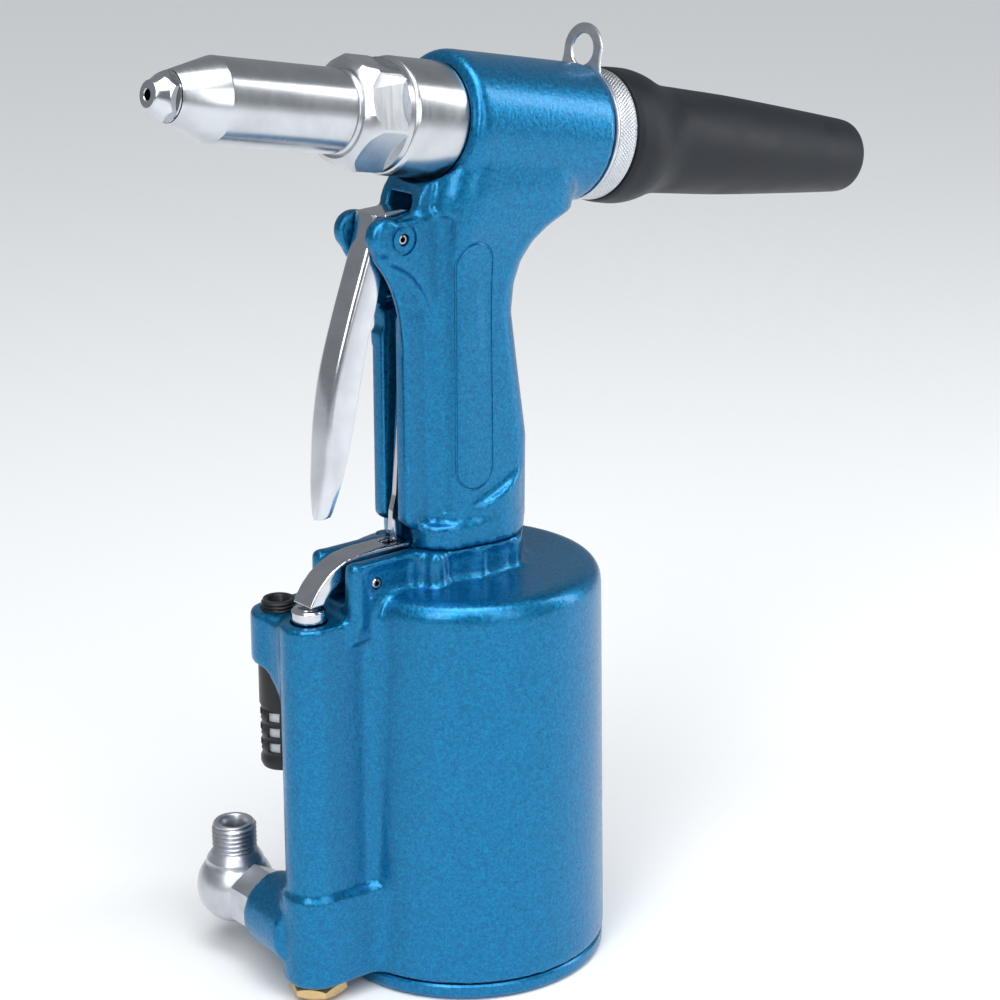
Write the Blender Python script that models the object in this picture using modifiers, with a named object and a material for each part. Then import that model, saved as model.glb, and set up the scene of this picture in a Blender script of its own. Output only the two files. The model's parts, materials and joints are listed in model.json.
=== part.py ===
# Hand riveter: an air-over-oil blind rivet tool. Blender 4.5, metres, +Z up.
# The tool stands on its cylinder cap at the origin, with the air cylinder on +Z.
# The nose points to -X and rises a little. The trigger, lever and valve lie on Y = 0.
# Sizes are in millimetres and MM turns them into metres when a mesh is made.

import math

import bmesh
import bpy
from mathutils import Matrix, Vector

MM = 0.001
GAP = 0.3                     # clearance between touching pieces
EPS = 1.0                     # how far a cutter runs past the face it opens
FINE = 30                     # sides of the large round pieces
MEDIUM = 20
COARSE = 12

# Air cylinder
CAP_HEIGHT = 5.0
CYL_R_BOTTOM = 41.3
CYL_R_TOP = 39.4
CYL_TOP = 119.3
CYL_FILLET = 5.3
BORE_R = 37.0
ROOF = 110.0                  # underside of the cylinder's roof
PEDESTAL_TOP = 129.3
PEDESTAL_INSET = 0.8

# Valve chest: a boss down the front of the cylinder
VALVE_X = -55.0
VALVE_BOSS_R = 8.3
VALVE_BLOCK_R = 9.7
VALVE_BLOCK_TOP = 33.0
VALVE_BASE = 5.0
VALVE_TOP = 114.0
VALVE_BORE_R = 4.3
BUTTON_R = 4.8
BUTTON_TOP = 118.2
BUTTON_SEAT = 114.3
VALVE_TRAVEL = 2.5

# Silencer beside the valve, on the starboard side
SILENCER_X = -54.0
SILENCER_Y = 15.4
SILENCER_BOSS_R = 8.0
SILENCER_BOSS_BASE = 98.0
SILENCER_BOSS_TOP = 113.5
SILENCER_THREAD_R = 4.9
SILENCER_CAGE_R = 6.2
SILENCER_BASE = 66.5

# Air inlet: a union and a swivel elbow on a stub that points to starboard
INLET_Z = 19.7
STUB_END = 21.0
STUB_R = 11.0
UNION_END = 30.3
BALL_Y = 39.7
BALL_R = 11.4
INLET_TOP = 40.0
INLET_THREAD_R = 6.58

# Valve lever and its bracket
LEVER_PIVOT = (-38.3, 123.5)
LEVER_WIDTH = 8.4
EAR_INNER = 5.0
EAR_OUTER = 9.8

# Handle
NECK_R = 17.3
NECK_FRONT_R = 11.0
NECK_CORNER = (-11.3, 4.3)    # centre of the neck's front corners, in X and +-Y
NECK_BASE = 129.6
NECK_TOP = 136.2
NOTCH_FRONT = -30.0           # the notch for the lever's end, in the pedestal and the neck
NOTCH_REAR = -20.8
NOTCH_HALF = 4.7
OIL_BORE_R = 6.5
GLAND_BORE_R = 11.0
GLAND_BORE_TOP = 141.0
RAM_R = 6.2
RAM_TOP = 138.0

# Trigger and pull rod
OIL_SCREW_FACE = 14.6
OIL_SCREW_Z = 214.0
TRIGGER_PIVOT = (-28.0, 218.0)
TRIGGER_WIDTH = 9.0
ROD_TOP = (-18.4, 220.2)
ROD_FOOT = (-24.6, 130.0)
PIN_R = 1.4

# Head: its axis crosses the cylinder's axis here, and rises towards the nose
HEAD_Z = 244.8
HEAD_TILT = math.radians(10.36)
HEAD_R = 19.3
HEAD_BORE_R = 14.8
HEAD_FRONT = 10.0             # places along the head count from the crossing, + to the nose
HEAD_REAR = -40.0
COLLAR_R = 15.8
COLLAR_FRONT = 28.3
HEX_FRONT = 42.8
NOSE_R = 11.2
CONE_START = 83.3
CONE_END = 95.4
TIP = 101.6
MANDREL_R = 1.6
PISTON_FRONT = -10.0
PISTON_REAR = -20.0
ROD_R = 5.5
RETAINER_REAR = -49.0
CAP_REAR = -155.0

PART_NAME = "hand_riveter"


def clear_scene():
    for item in list(bpy.data.objects):
        bpy.data.objects.remove(item, do_unlink=True)


def make_collection(name):
    collection = bpy.data.collections.new(name)
    bpy.context.scene.collection.children.link(collection)
    return collection


clear_scene()
PARTS = make_collection(PART_NAME)
TOOLS = make_collection("cutters")


def make_empty(name, place, tilt=0.0):
    empty = bpy.data.objects.new(name, None)
    empty.location = Vector(place) * MM
    empty.rotation_euler = (0.0, tilt, 0.0)
    empty.empty_display_size = 0.01
    PARTS.objects.link(empty)
    return empty


# Local +Z of this empty runs to the nose, and local +X is the top of the head.
HEAD = make_empty("head_axis", (0, 0, HEAD_Z), HEAD_TILT - math.pi / 2)


def link(obj, as_tool):
    if as_tool:
        TOOLS.objects.link(obj)
        obj.hide_render = True
        obj.display_type = 'WIRE'
    else:
        PARTS.objects.link(obj)
    return obj


def paint(obj, colour, metallic, roughness):
    material = bpy.data.materials.new(obj.name)
    material.use_nodes = True
    shader = material.node_tree.nodes["Principled BSDF"]
    shader.inputs["Base Color"].default_value = (*colour, 1.0)
    shader.inputs["Metallic"].default_value = metallic
    shader.inputs["Roughness"].default_value = roughness
    obj.data.materials.clear()
    obj.data.materials.append(material)
    return obj


def painted_blue(obj):
    return paint(obj, (0.0, 0.19, 0.42), 0.35, 0.35)


def steel(obj):
    return paint(obj, (0.62, 0.63, 0.65), 1.0, 0.25)


def zinc(obj):
    return paint(obj, (0.72, 0.74, 0.76), 1.0, 0.35)


def aluminium(obj):
    return paint(obj, (0.70, 0.71, 0.72), 1.0, 0.40)


def brass(obj):
    return paint(obj, (0.65, 0.47, 0.22), 1.0, 0.35)


def rubber(obj):
    return paint(obj, (0.02, 0.022, 0.027), 0.0, 0.65)


def black_plastic(obj):
    return paint(obj, (0.015, 0.015, 0.017), 0.0, 0.5)


def put(obj, parent=None, place=(0, 0, 0), turn=(0, 0, 0)):
    obj.parent = parent
    obj.location = Vector(place) * MM
    obj.rotation_euler = turn
    return obj


def turned(name, profile, steps=MEDIUM, parent=None, place=(0, 0, 0), turn=(0, 0, 0), as_tool=False):
    """A turned shape. The profile's (radius, height) points run down the outer side."""
    ring = profile[0][0] > 0
    mesh = bpy.data.meshes.new(name)
    points = [(radius * MM, 0.0, height * MM) for radius, height in profile]
    edges = [(i, i + 1) for i in range(len(points) - 1)]
    if ring:
        edges.append((len(points) - 1, 0))
    mesh.from_pydata(points, edges, [])
    obj = link(bpy.data.objects.new(name, mesh), as_tool)
    screw = obj.modifiers.new("turn", 'SCREW')
    screw.axis = 'Z'
    screw.angle = 2 * math.pi
    screw.steps = steps
    screw.render_steps = steps
    screw.use_merge_vertices = True
    screw.merge_threshold = 0.00001
    screw.use_smooth_shade = False
    return put(obj, parent, place, turn)


def rod(name, radius, low, high, steps=COARSE, **where):
    return turned(name, [(0, high), (radius, high), (radius, low), (0, low)], steps, **where)


def tube(name, outer, inner, low, high, steps=COARSE, **where):
    return turned(name, [(outer, high), (outer, low), (inner, low), (inner, high)], steps, **where)


def arc(centre, radius, start, end, count):
    """Points on an arc, from start to end in degrees."""
    points = []
    for i in range(count + 1):
        angle = math.radians(start + (end - start) * i / count)
        points.append((centre[0] + radius * math.cos(angle), centre[1] + radius * math.sin(angle)))
    return points


def eased(points, steps=3):
    """A smooth run through the points."""
    ends = [points[0]] + list(points) + [points[-1]]
    run = []
    for i in range(1, len(ends) - 2):
        a, b, c, d = (Vector(point) for point in ends[i - 1:i + 3])
        for k in range(steps):
            t = k / steps
            run.append(tuple(0.5 * (2 * b + (c - a) * t + (2 * a - 5 * b + 4 * c - d) * t * t
                                    + (3 * b - a - 3 * c + d) * t * t * t)))
    run.append(tuple(points[-1]))
    return run


def as_mesh(curve_obj, as_tool):
    """A mesh copy of a curve object, with its caps welded on."""
    bpy.context.view_layer.update()
    depsgraph = bpy.context.evaluated_depsgraph_get()
    mesh = bpy.data.meshes.new_from_object(curve_obj.evaluated_get(depsgraph))
    welded = bmesh.new()
    welded.from_mesh(mesh)
    bmesh.ops.remove_doubles(welded, verts=welded.verts, dist=0.000001)
    bmesh.ops.recalc_face_normals(welded, faces=welded.faces)
    welded.to_mesh(mesh)
    welded.free()
    name = curve_obj.name
    place = curve_obj.matrix_world.copy()
    bpy.data.objects.remove(curve_obj)
    obj = link(bpy.data.objects.new(name, mesh), as_tool)
    obj.name = name
    obj.matrix_world = place
    return obj


def flat(name, outline, thickness, as_tool, place, turn, bevel):
    curve = bpy.data.curves.new(name + "_outline", 'CURVE')
    curve.dimensions = '2D'
    curve.fill_mode = 'BOTH'
    curve.extrude = thickness / 2 * MM
    spline = curve.splines.new('POLY')
    spline.points.add(len(outline) - 1)
    for point, (x, y) in zip(spline.points, outline):
        point.co = (x * MM, y * MM, 0.0, 1.0)
    spline.use_cyclic_u = True
    obj = link(bpy.data.objects.new(name, curve), as_tool)
    put(obj, None, place, turn)
    obj = as_mesh(obj, as_tool)
    if bevel > 0:
        rounding = obj.modifiers.new("round", 'BEVEL')
        rounding.width = bevel * MM
        rounding.segments = 1
        rounding.limit_method = 'ANGLE'
        rounding.angle_limit = math.radians(50)
    return obj


def side_plate(name, outline, middle, thickness, as_tool=False, bevel=0.0):
    """A plate whose outline is drawn in X and Z, with its thickness along Y."""
    return flat(name, outline, thickness, as_tool, (0, middle, 0), (math.pi / 2, 0, 0), bevel)


def plan_slab(name, outline, low, high, as_tool=False):
    """A slab whose outline is drawn in X and Y, from one height to another."""
    return flat(name, outline, high - low, as_tool, (0, 0, (low + high) / 2), (0, 0, 0), 0)


def box(name, low, high, as_tool=True):
    outline = [(low[0], low[1]), (high[0], low[1]), (high[0], high[1]), (low[0], high[1])]
    return plan_slab(name, outline, low[2], high[2], as_tool)


def hexagon(across_flats, start=30.0):
    radius = across_flats / math.sqrt(3)
    return arc((0, 0), radius, start, start + 300, 5)


def hex_prism(name, across_flats, low, high, as_tool=True, start=30.0):
    return plan_slab(name, hexagon(across_flats, start), low, high, as_tool)


def boolean(target, other, operation, solver='EXACT'):
    modifier = target.modifiers.new(operation.lower(), 'BOOLEAN')
    modifier.operation = operation
    modifier.solver = solver
    modifier.object = other


def join(target, *others, solver='EXACT'):
    for other in others:
        boolean(target, other, 'UNION', solver)
    return target


def cut(target, *others, solver='EXACT'):
    for other in others:
        boolean(target, other, 'DIFFERENCE', solver)
    return target


def keep(target, other):
    boolean(target, other, 'INTERSECT')
    return target


def move_origin(obj, place):
    """Puts the object's origin on a joint axis and leaves its shape where it is."""
    origin = Vector(place) * MM
    obj.data.transform(obj.matrix_basis)
    obj.data.transform(Matrix.Translation(-origin))
    obj.rotation_euler = (0, 0, 0)
    obj.location = origin
    return obj


def across(name, radius, x, z, low, high, steps=COARSE, as_tool=True):
    """A rod along Y through (x, z), for pins and pin holes."""
    return rod(name, radius, low, high, steps, place=(x, 0, z), turn=(-math.pi / 2, 0, 0),
               as_tool=as_tool)


def pin(name, radius, x, z, half_length):
    """A rolled pin, open down the middle."""
    return tube(name, radius, radius * 0.5, -half_length, half_length, COARSE,
                place=(x, 0, z), turn=(math.pi / 2, 0, 0))


def coil(name, radius, wire, low, high, turns, parent=None, place=(0, 0, 0), per_turn=12):
    """A compression spring along local +Z, with a closed turn at each end."""
    curve = bpy.data.curves.new(name, 'CURVE')
    curve.dimensions = '3D'
    curve.bevel_depth = wire * MM
    curve.bevel_resolution = 2
    curve.use_fill_caps = True
    count = turns * per_turn
    spline = curve.splines.new('POLY')
    spline.points.add(count)
    closed = 1.0 / turns
    flat_rise = 2.3 * wire
    for i, point in enumerate(spline.points):
        t = i / count
        if t < closed:
            rise = flat_rise * t / closed
        elif t > 1 - closed:
            rise = (high - low) - flat_rise * (1 - t) / closed
        else:
            rise = flat_rise + (high - low - 2 * flat_rise) * (t - closed) / (1 - 2 * closed)
        angle = 2 * math.pi * turns * t
        point.co = (radius * math.cos(angle) * MM, radius * math.sin(angle) * MM,
                    (low + rise) * MM, 1.0)
    obj = link(bpy.data.objects.new(name, curve), False)
    return put(obj, parent, place)


def o_ring(name, outer, inner, middle, steps=MEDIUM, parent=None, place=(0, 0, 0)):
    """A ring of round section."""
    section = (outer - inner) / 2
    profile = arc(((outer + inner) / 2, middle), section, 90, -270, 6)[:-1]
    return turned(name, profile, steps, parent=parent, place=place)


def loft(name, sections, count=28, as_tool=False):
    """A column of rounded-rectangle sections (z, front x, rear x, half width, corner)."""
    shape = bmesh.new()
    loops = []
    for z, front, rear, half, corner in sections:
        cx = (front + rear) / 2
        hx = (rear - front) / 2 - corner
        hy = half - corner
        loop = []
        for i in range(count):
            angle = 2 * math.pi * (i + 0.5) / count
            sx = 1 if math.cos(angle) > 0 else -1
            sy = 1 if math.sin(angle) > 0 else -1
            loop.append(shape.verts.new(((cx + sx * hx + corner * math.cos(angle)) * MM,
                                         (sy * hy + corner * math.sin(angle)) * MM, z * MM)))
        loops.append(loop)
    for low, high in zip(loops, loops[1:]):
        for i in range(count):
            j = (i + 1) % count
            shape.faces.new((low[i], low[j], high[j], high[i]))
    shape.faces.new(list(reversed(loops[0])))
    shape.faces.new(loops[-1])
    mesh = bpy.data.meshes.new(name)
    shape.to_mesh(mesh)
    shape.free()
    return link(bpy.data.objects.new(name, mesh), as_tool)


# ---- air cylinder -------------------------------------------------------------------

def neck_outline(inset):
    """The neck in plan: round at the rear, with two wide corners towards the trigger."""
    x, y = NECK_CORNER
    corner = NECK_FRONT_R - inset
    return (arc((0, 0), NECK_R - inset, -100, 100, 14) + arc((x, y), corner, 100, 180, 5)
            + arc((x, -y), corner, 180, 260, 5))


def lever_notch(name, low, high):
    return box(name, (NOTCH_FRONT, -NOTCH_HALF, low), (NOTCH_REAR, NOTCH_HALF, high))


def fillet_top(radius, top, fillet, count=3):
    """Profile points from the axis over a rounded shoulder to the side."""
    return [(0, top)] + arc((radius - fillet, top - fillet), fillet, 90, 0, count)


def valve_boss(name, radius, spread, low, high):
    """The valve chest in plan: a round nose, with sides that widen to the cylinder."""
    outline = [(-30, -spread)] + arc((VALVE_X, 0), radius, 262, 98, 12) + [(-30, spread)]
    return plan_slab(name, outline, low, high, True)


def bracket_ear(side):
    """One ear of the lever bracket, with a rounded column at its front."""
    outline = ([(-12, 112), (-47, 112)] + arc((-44.5, 128.0), 2.5, 180, 90, 3)
               + [(-24.5, 130.0), (-22.9, PEDESTAL_TOP - 0.1), (-12, PEDESTAL_TOP - 0.1)])
    name = "ear_" + side
    middle = (EAR_INNER + EAR_OUTER) / 2 * (1 if side == "starboard" else -1)
    return side_plate(name, outline, middle, EAR_OUTER - EAR_INNER, True)


def boss_gusset():
    """The web that sweeps from the silencer's boss down to the valve chest, drawn across the tool."""
    outline = [(0, 84), (4.5, 86), (7, 90.5), (11.5, 96), (16, 99), (16, 112), (0, 112)]
    return flat("boss_gusset", outline, 13.0, True, (-54.5, 0, 0), (math.pi / 2, 0, math.pi / 2), 0)


def make_air_cylinder():
    profile = fillet_top(CYL_R_TOP, CYL_TOP, CYL_FILLET)
    profile += [(CYL_R_BOTTOM, CAP_HEIGHT + 1.3), (CYL_R_BOTTOM - 0.6, CAP_HEIGHT + GAP),
                (0, CAP_HEIGHT + GAP)]
    body = turned("air_cylinder", profile, FINE)
    pedestal = plan_slab("pedestal", neck_outline(PEDESTAL_INSET), 112, PEDESTAL_TOP, True)
    boss = valve_boss("valve_boss", VALVE_BOSS_R, 8.2, VALVE_BASE, VALVE_TOP)
    block = valve_boss("valve_block", VALVE_BLOCK_R, 12.6, VALVE_BASE + 0.5, VALVE_BLOCK_TOP)
    side_boss = rod("silencer_boss", SILENCER_BOSS_R, SILENCER_BOSS_BASE, SILENCER_BOSS_TOP, MEDIUM,
                    place=(SILENCER_X, SILENCER_Y, 0), as_tool=True)
    web = plan_slab("boss_web", [(-54, 0), (-54, 21.5), (-30, 21.5), (-30, 0)],
                    SILENCER_BOSS_BASE + 1, SILENCER_BOSS_TOP - 0.7, True)
    gusset = boss_gusset()
    stub = turned("inlet_stub", [(0, STUB_END), (STUB_R, STUB_END), (STUB_R + 1.5, 2), (0, 2)], MEDIUM,
                  place=(VALVE_X, 0, INLET_Z), turn=(-math.pi / 2, 0, 0), as_tool=True)
    saddle = box("bracket_saddle", (-46.5, -9.3, 108), (-12, 9.3, 118.0))
    join(body, pedestal, boss, block, side_boss, web, gusset, stub, saddle,
         bracket_ear("port"), bracket_ear("starboard"))
    cut(body,
        rod("cylinder_bore", BORE_R, 0, ROOF, FINE, as_tool=True),
        rod("gland_hole", GLAND_BORE_R, ROOF - EPS, PEDESTAL_TOP + EPS, MEDIUM, as_tool=True),
        rod("valve_bore", VALVE_BORE_R, 0, VALVE_TOP + EPS, COARSE, place=(VALVE_X, 0, 0), as_tool=True),
        rod("button_recess", BUTTON_R + 0.4, BUTTON_SEAT - VALVE_TRAVEL - 0.5, VALVE_TOP + EPS, COARSE,
            place=(VALVE_X, 0, 0), as_tool=True),
        rod("plug_recess", 7.2, 0, 14, COARSE, place=(VALVE_X, 0, 0), as_tool=True),
        rod("silencer_bore", SILENCER_THREAD_R + GAP, 80, 120, COARSE,
            place=(SILENCER_X, SILENCER_Y, 0), as_tool=True),
        rod("cage_clearance", SILENCER_CAGE_R + 0.4, 60, SILENCER_BOSS_BASE, COARSE,
            place=(SILENCER_X, SILENCER_Y, 0), as_tool=True),
        across("union_bore", 6.5, VALVE_X, INLET_Z, 9, STUB_END + EPS, COARSE),
        across("inlet_port", 3.2, VALVE_X, INLET_Z, 0, 10, COARSE),
        across("exhaust_port", 2.2, VALVE_X, 100, 0, SILENCER_Y, 12),
        rod("air_port", 2.2, -VALVE_X - BORE_R - 3, -VALVE_X, 12, place=(0, 0, 20),
            turn=(0, -math.pi / 2, 0), as_tool=True),
        lever_notch("pedestal_notch", 118.2, 135),
        across("lever_pin_hole", PIN_R + GAP, *LEVER_PIVOT, -12, 12), solver='MANIFOLD')
    return painted_blue(body)


def make_cylinder_cap():
    profile = [(0, 10), (BORE_R - 2.5, 10), (BORE_R - 2.5, 6.6), (BORE_R - GAP, 6.6),
               (BORE_R - GAP, CAP_HEIGHT - 0.01), (CYL_R_BOTTOM - 1.3, CAP_HEIGHT - 0.01),
               (CYL_R_BOTTOM - 0.6, 4.2), (CYL_R_BOTTOM - 0.6, 1.0), (CYL_R_BOTTOM - 1.6, 0), (0, 0)]
    return painted_blue(turned("cylinder_cap", profile, FINE))


def make_cylinder_inside():
    rubber(o_ring("cap_o_ring", BORE_R - GAP, BORE_R - 2.5 + GAP, 8.4, MEDIUM))
    rubber(turned("piston_bumper", [(27, 13.2), (27, 10.3), (20, 10.3), (20, 13.2)], MEDIUM))
    groove = BORE_R - 3.6
    profile = [(30, 24), (groove, 24), (groove, 20.6), (BORE_R - 0.4, 20.6), (BORE_R - 0.4, 14),
               (13, 14), (13, 18), (RAM_R + GAP - 2, 18), (RAM_R + GAP - 2, 24), (14, 24), (14, 18.6),
               (30, 18.6)]
    aluminium(turned("air_piston", profile, MEDIUM))
    seal = [(BORE_R - 0.4, 26), (BORE_R - 0.4, 20.9), (groove + GAP, 20.9), (groove + GAP, 24.3),
            (groove + 1.2, 24.3), (BORE_R - 1.4, 26)]
    rubber(turned("air_piston_seal", seal, MEDIUM))
    shank = RAM_R - 2
    steel(turned("ram_rod", [(0, RAM_TOP), (RAM_R - 1, RAM_TOP), (RAM_R, RAM_TOP - 1),
                             (RAM_R, 24 + GAP), (shank, 24 + GAP), (shank, 10.6), (0, 10.6)], MEDIUM))
    nut = hex_prism("ram_nut", 15, 10.6, 17.7, as_tool=False)
    cut(nut, rod("ram_nut_hole", shank + GAP, 9, 19, COARSE, as_tool=True))
    steel(nut)


def make_neck_gland():
    """The bush that joins the handle to the cylinder and seals the ram."""
    seat = GLAND_BORE_TOP - 8
    profile = [(GLAND_BORE_R - GAP, GLAND_BORE_TOP - GAP), (GLAND_BORE_R - GAP, ROOF - GAP),
               (14.5, ROOF - GAP), (14.5, 104), (RAM_R + GAP, 104), (RAM_R + GAP, seat),
               (8.8, seat), (8.8, GLAND_BORE_TOP - GAP)]
    steel(turned("neck_gland", profile, MEDIUM))
    rubber(o_ring("gland_seal", 8.5, RAM_R + 0.15, seat + 1.6, MEDIUM))


# ---- valve --------------------------------------------------------------------------

def make_valve():
    at_valve = {"place": (VALVE_X, 0, 0)}
    button = turned("valve_button", [(0, BUTTON_TOP), (3.4, BUTTON_TOP), (BUTTON_R, BUTTON_TOP - 1),
                                     (BUTTON_R, BUTTON_SEAT), (2.2, BUTTON_SEAT), (2.2, 96.3),
                                     (0, 96.3)], MEDIUM, **at_valve)
    steel(button)
    bush = tube("valve_guide", VALVE_BORE_R - GAP, 2.5, 103, BUTTON_SEAT - VALVE_TRAVEL - 0.8, COARSE,
                **at_valve)
    brass(bush)
    spool = [(0, 96), (3.9, 96), (3.9, 90), (2.2, 88), (2.2, 66), (3.9, 64), (3.9, 61), (2.9, 61),
             (2.9, 58.6), (3.9, 58.6), (3.9, 55), (2.2, 53), (2.2, 34), (0, 34)]
    steel(turned("valve_spool", spool, COARSE, **at_valve))
    rubber(tube("valve_seal", VALVE_BORE_R - 0.1, 3.2, 58.9, 60.7, COARSE, **at_valve))
    steel(coil("valve_spring", 3.2, 0.4, 14.1, 33.6, 6, place=(VALVE_X, 0, 0), per_turn=8))
    plug = hex_prism("valve_plug", 14.8, 1.7, VALVE_BASE - GAP, as_tool=False, start=10)
    shank = rod("plug_shank", 6.9, 3, 13.7, COARSE, as_tool=True)
    join(plug, shank)
    cut(plug, rod("plug_spring_pocket", 2.0, 9, 20, COARSE, as_tool=True))
    brass(put(plug, None, (VALVE_X, 0, (1.7 + VALVE_BASE - GAP) / 2)))
    for tool in (bpy.data.objects["plug_shank"], bpy.data.objects["plug_spring_pocket"]):
        tool.location = (VALVE_X * MM, 0, 0)


def make_silencer():
    place = (SILENCER_X, SILENCER_Y, 0)
    cage = SILENCER_CAGE_R
    neck = SILENCER_BOSS_BASE - GAP
    profile = [(SILENCER_THREAD_R, 116.3), (SILENCER_THREAD_R, neck), (cage, neck),
               (cage, SILENCER_BASE + 1),
               (cage - 1, SILENCER_BASE), (3.0, SILENCER_BASE), (3.0, 68.0), (4.9, 68.0),
               (4.9, 87.0), (3.0, 88.5), (3.0, 116.3)]
    body = turned("silencer_body", profile, COARSE, place=place)
    for i, height in enumerate((71.6, 76.2, 80.8)):
        for k, angle in enumerate((0, math.pi / 2)):
            slot = box("silencer_slot_%d_%d" % (i, k), (-9, -2.6, height), (9, 2.6, height + 2.8))
            slot.location.x = SILENCER_X * MM
            slot.location.y = SILENCER_Y * MM
            slot.rotation_euler = (0, 0, angle)
            cut(body, slot)
    black_plastic(body)
    core = tube("silencer_core", 4.6, 2.0, 68.3, 86.7, COARSE, place=place)
    paint(core, (0.8, 0.8, 0.78), 0.0, 0.8)


def make_inlet():
    along_y = {"place": (VALVE_X, 0, INLET_Z), "turn": (-math.pi / 2, 0, 0)}
    nut = hex_prism("inlet_union", 17.0, STUB_END + GAP, UNION_END, as_tool=False)
    join(nut, rod("union_thread", 6.2, 9.6, 22, COARSE, as_tool=True),
         rod("union_nose", 5.4, 30, 41.5, COARSE, as_tool=True))
    cut(nut, rod("union_bore_tool", 3.0, 5, 45, COARSE, as_tool=True))
    put(nut, None, (VALVE_X, (STUB_END + GAP + UNION_END) / 2, INLET_Z), along_y["turn"])
    for tool in ("union_thread", "union_nose", "union_bore_tool"):
        put(bpy.data.objects[tool], None, along_y["place"], along_y["turn"])
    zinc(nut)
    ball = [(0, BALL_Y + BALL_R)]
    ball += arc((0, BALL_Y), BALL_R, 90, -50, 9)[1:]
    ball += [(7.3, UNION_END + GAP), (5.7, UNION_END + GAP), (5.7, 43.0), (0, 43.0)]
    elbow = turned("inlet_elbow", ball, MEDIUM, **along_y)
    stem_low = INLET_Z + 6.3
    stem = turned("inlet_stem", [(0, INLET_TOP), (INLET_THREAD_R - 0.8, INLET_TOP),
                                 (INLET_THREAD_R, INLET_TOP - 0.8), (INLET_THREAD_R, stem_low),
                                 (0, stem_low)], MEDIUM, place=(VALVE_X, BALL_Y, 0), as_tool=True)
    join(elbow, stem)
    cut(elbow, rod("stem_bore", 4.2, INLET_Z, INLET_TOP + EPS, COARSE, place=(VALVE_X, BALL_Y, 0),
                   as_tool=True))
    zinc(elbow)


# ---- lever, rod and trigger ---------------------------------------------------------

def make_valve_lever():
    top = eased([(-21.6, 130.6), (-40.0, 130.8), (-47.0, 129.4), (-52.6, 125.8), (-56.6, 121.0),
                 (-58.2, 118.7)], 2)
    under = eased([(-53.4, 118.7), (-50.6, 121.6), (-46.0, 123.4), (-42.6, 121.8)], 2)
    pivot = arc(LEVER_PIVOT, 3.2, 200, 330, 5)
    outline = top + under + pivot + [(-31.0, 129.1), (-21.6, 129.1)]
    lever = side_plate("valve_lever", outline, 0, LEVER_WIDTH, False, 0.4)
    hollow = [(-49.0, 116), (-48.0, 126.0), (-44.0, 128.6), (-30.0, 128.9), (-30.0, 116)]
    cut(lever, side_plate("lever_hollow", hollow, 0, LEVER_WIDTH - 3.0, True),
        box("rod_slot", (ROD_FOOT[0] - 3.2, -1.6, 126), (ROD_FOOT[0] + 3.2, 1.6, 134)),
        across("lever_hole", PIN_R + GAP, *LEVER_PIVOT, -8, 8), solver='MANIFOLD')
    steel(lever)
    origin = Vector((LEVER_PIVOT[0], 0, LEVER_PIVOT[1]))
    move_origin(lever, origin)
    steel(pin("lever_pin", PIN_R, *LEVER_PIVOT, EAR_OUTER - 0.2))


def make_pull_rod():
    """A flat strip that hangs from the trigger and hooks through the lever."""
    top = Vector(ROD_TOP)
    foot = Vector(ROD_FOOT)
    along = (foot - top).normalized()
    side = Vector((-along.y, along.x))
    half = 1.3
    flag = 2.1

    def at(distance, offset):
        return tuple(foot - along * distance + side * offset)

    outline = [at(-3.6, -2.6), at(-3.6, 2.6), at(-1.6, 2.6), at(-1.6, 1.3), at(2.6, 1.3),
               at(3.4, flag), at(10.5, flag), at(13.0, half)]
    length = (foot - top).length
    outline += [at(length - 2.6, half), at(length - 1.6, 2.0)]
    angle = math.degrees(math.atan2(side.y, side.x))
    outline += arc(top, 2.2, angle, angle + 180, 8)
    outline += [at(length - 1.6, -2.0), at(length - 2.6, -half), at(13.0, -half), at(10.5, -flag),
                at(3.4, -flag), at(2.6, -1.3), at(-1.6, -1.3), at(-1.6, -2.6)]
    strip = side_plate("pull_rod", outline, 0, 1.8)
    cut(strip, across("rod_eye", 1.0 + GAP, *ROD_TOP, -4, 4))
    steel(strip)
    move_origin(strip, (ROD_TOP[0], 0, ROD_TOP[1]))
    steel(across("rod_pin", 1.0, *ROD_TOP, -4.3, 4.3, COARSE, False))


def make_trigger():
    front = eased([(-33.6, 224.4), (-38.6, 210.0), (-46.1, 188.7), (-50.4, 169.4), (-51.8, 152.0),
                   (-52.4, 142.4)], 2)
    tip = [(-51.6, 140.2), (-50.4, 140.6)]
    rear = eased([(-50.0, 145.6), (-45.3, 155.4), (-40.5, 172.7), (-35.7, 193.5), (-30.6, 209.0),
                  (-26.6, 213.4)], 2)
    arm = [(-20.5, 217.6), (-15.6, 218.8), (-14.6, 220.2), (-14.6, 223.4), (-15.4, 224.2)]
    outline = front + tip + rear + arm
    blade = side_plate("trigger", outline, 0, TRIGGER_WIDTH, False, 0.4)
    inner = [(-31.8, 223.0), (-36.8, 209.6), (-44.3, 188.4), (-48.6, 169.4), (-50.0, 152.0),
             (-50.2, 148.0), (-46.0, 146.0), (-30.0, 175.0), (-20.0, 205.0), (-8.0, 214.0), (-8.0, 223.0)]
    cut(blade, side_plate("trigger_hollow", inner, 0, TRIGGER_WIDTH - 2.8, True),
        across("trigger_hole", PIN_R + GAP, *TRIGGER_PIVOT, -8, 8),
        across("rod_pin_hole", 1.0 + GAP, *ROD_TOP, -8, 8))
    steel(blade)
    move_origin(blade, (TRIGGER_PIVOT[0], 0, TRIGGER_PIVOT[1]))
    steel(pin("trigger_pin", PIN_R, *TRIGGER_PIVOT, EAR_OUTER - 0.4))


# ---- handle and head ----------------------------------------------------------------

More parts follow.
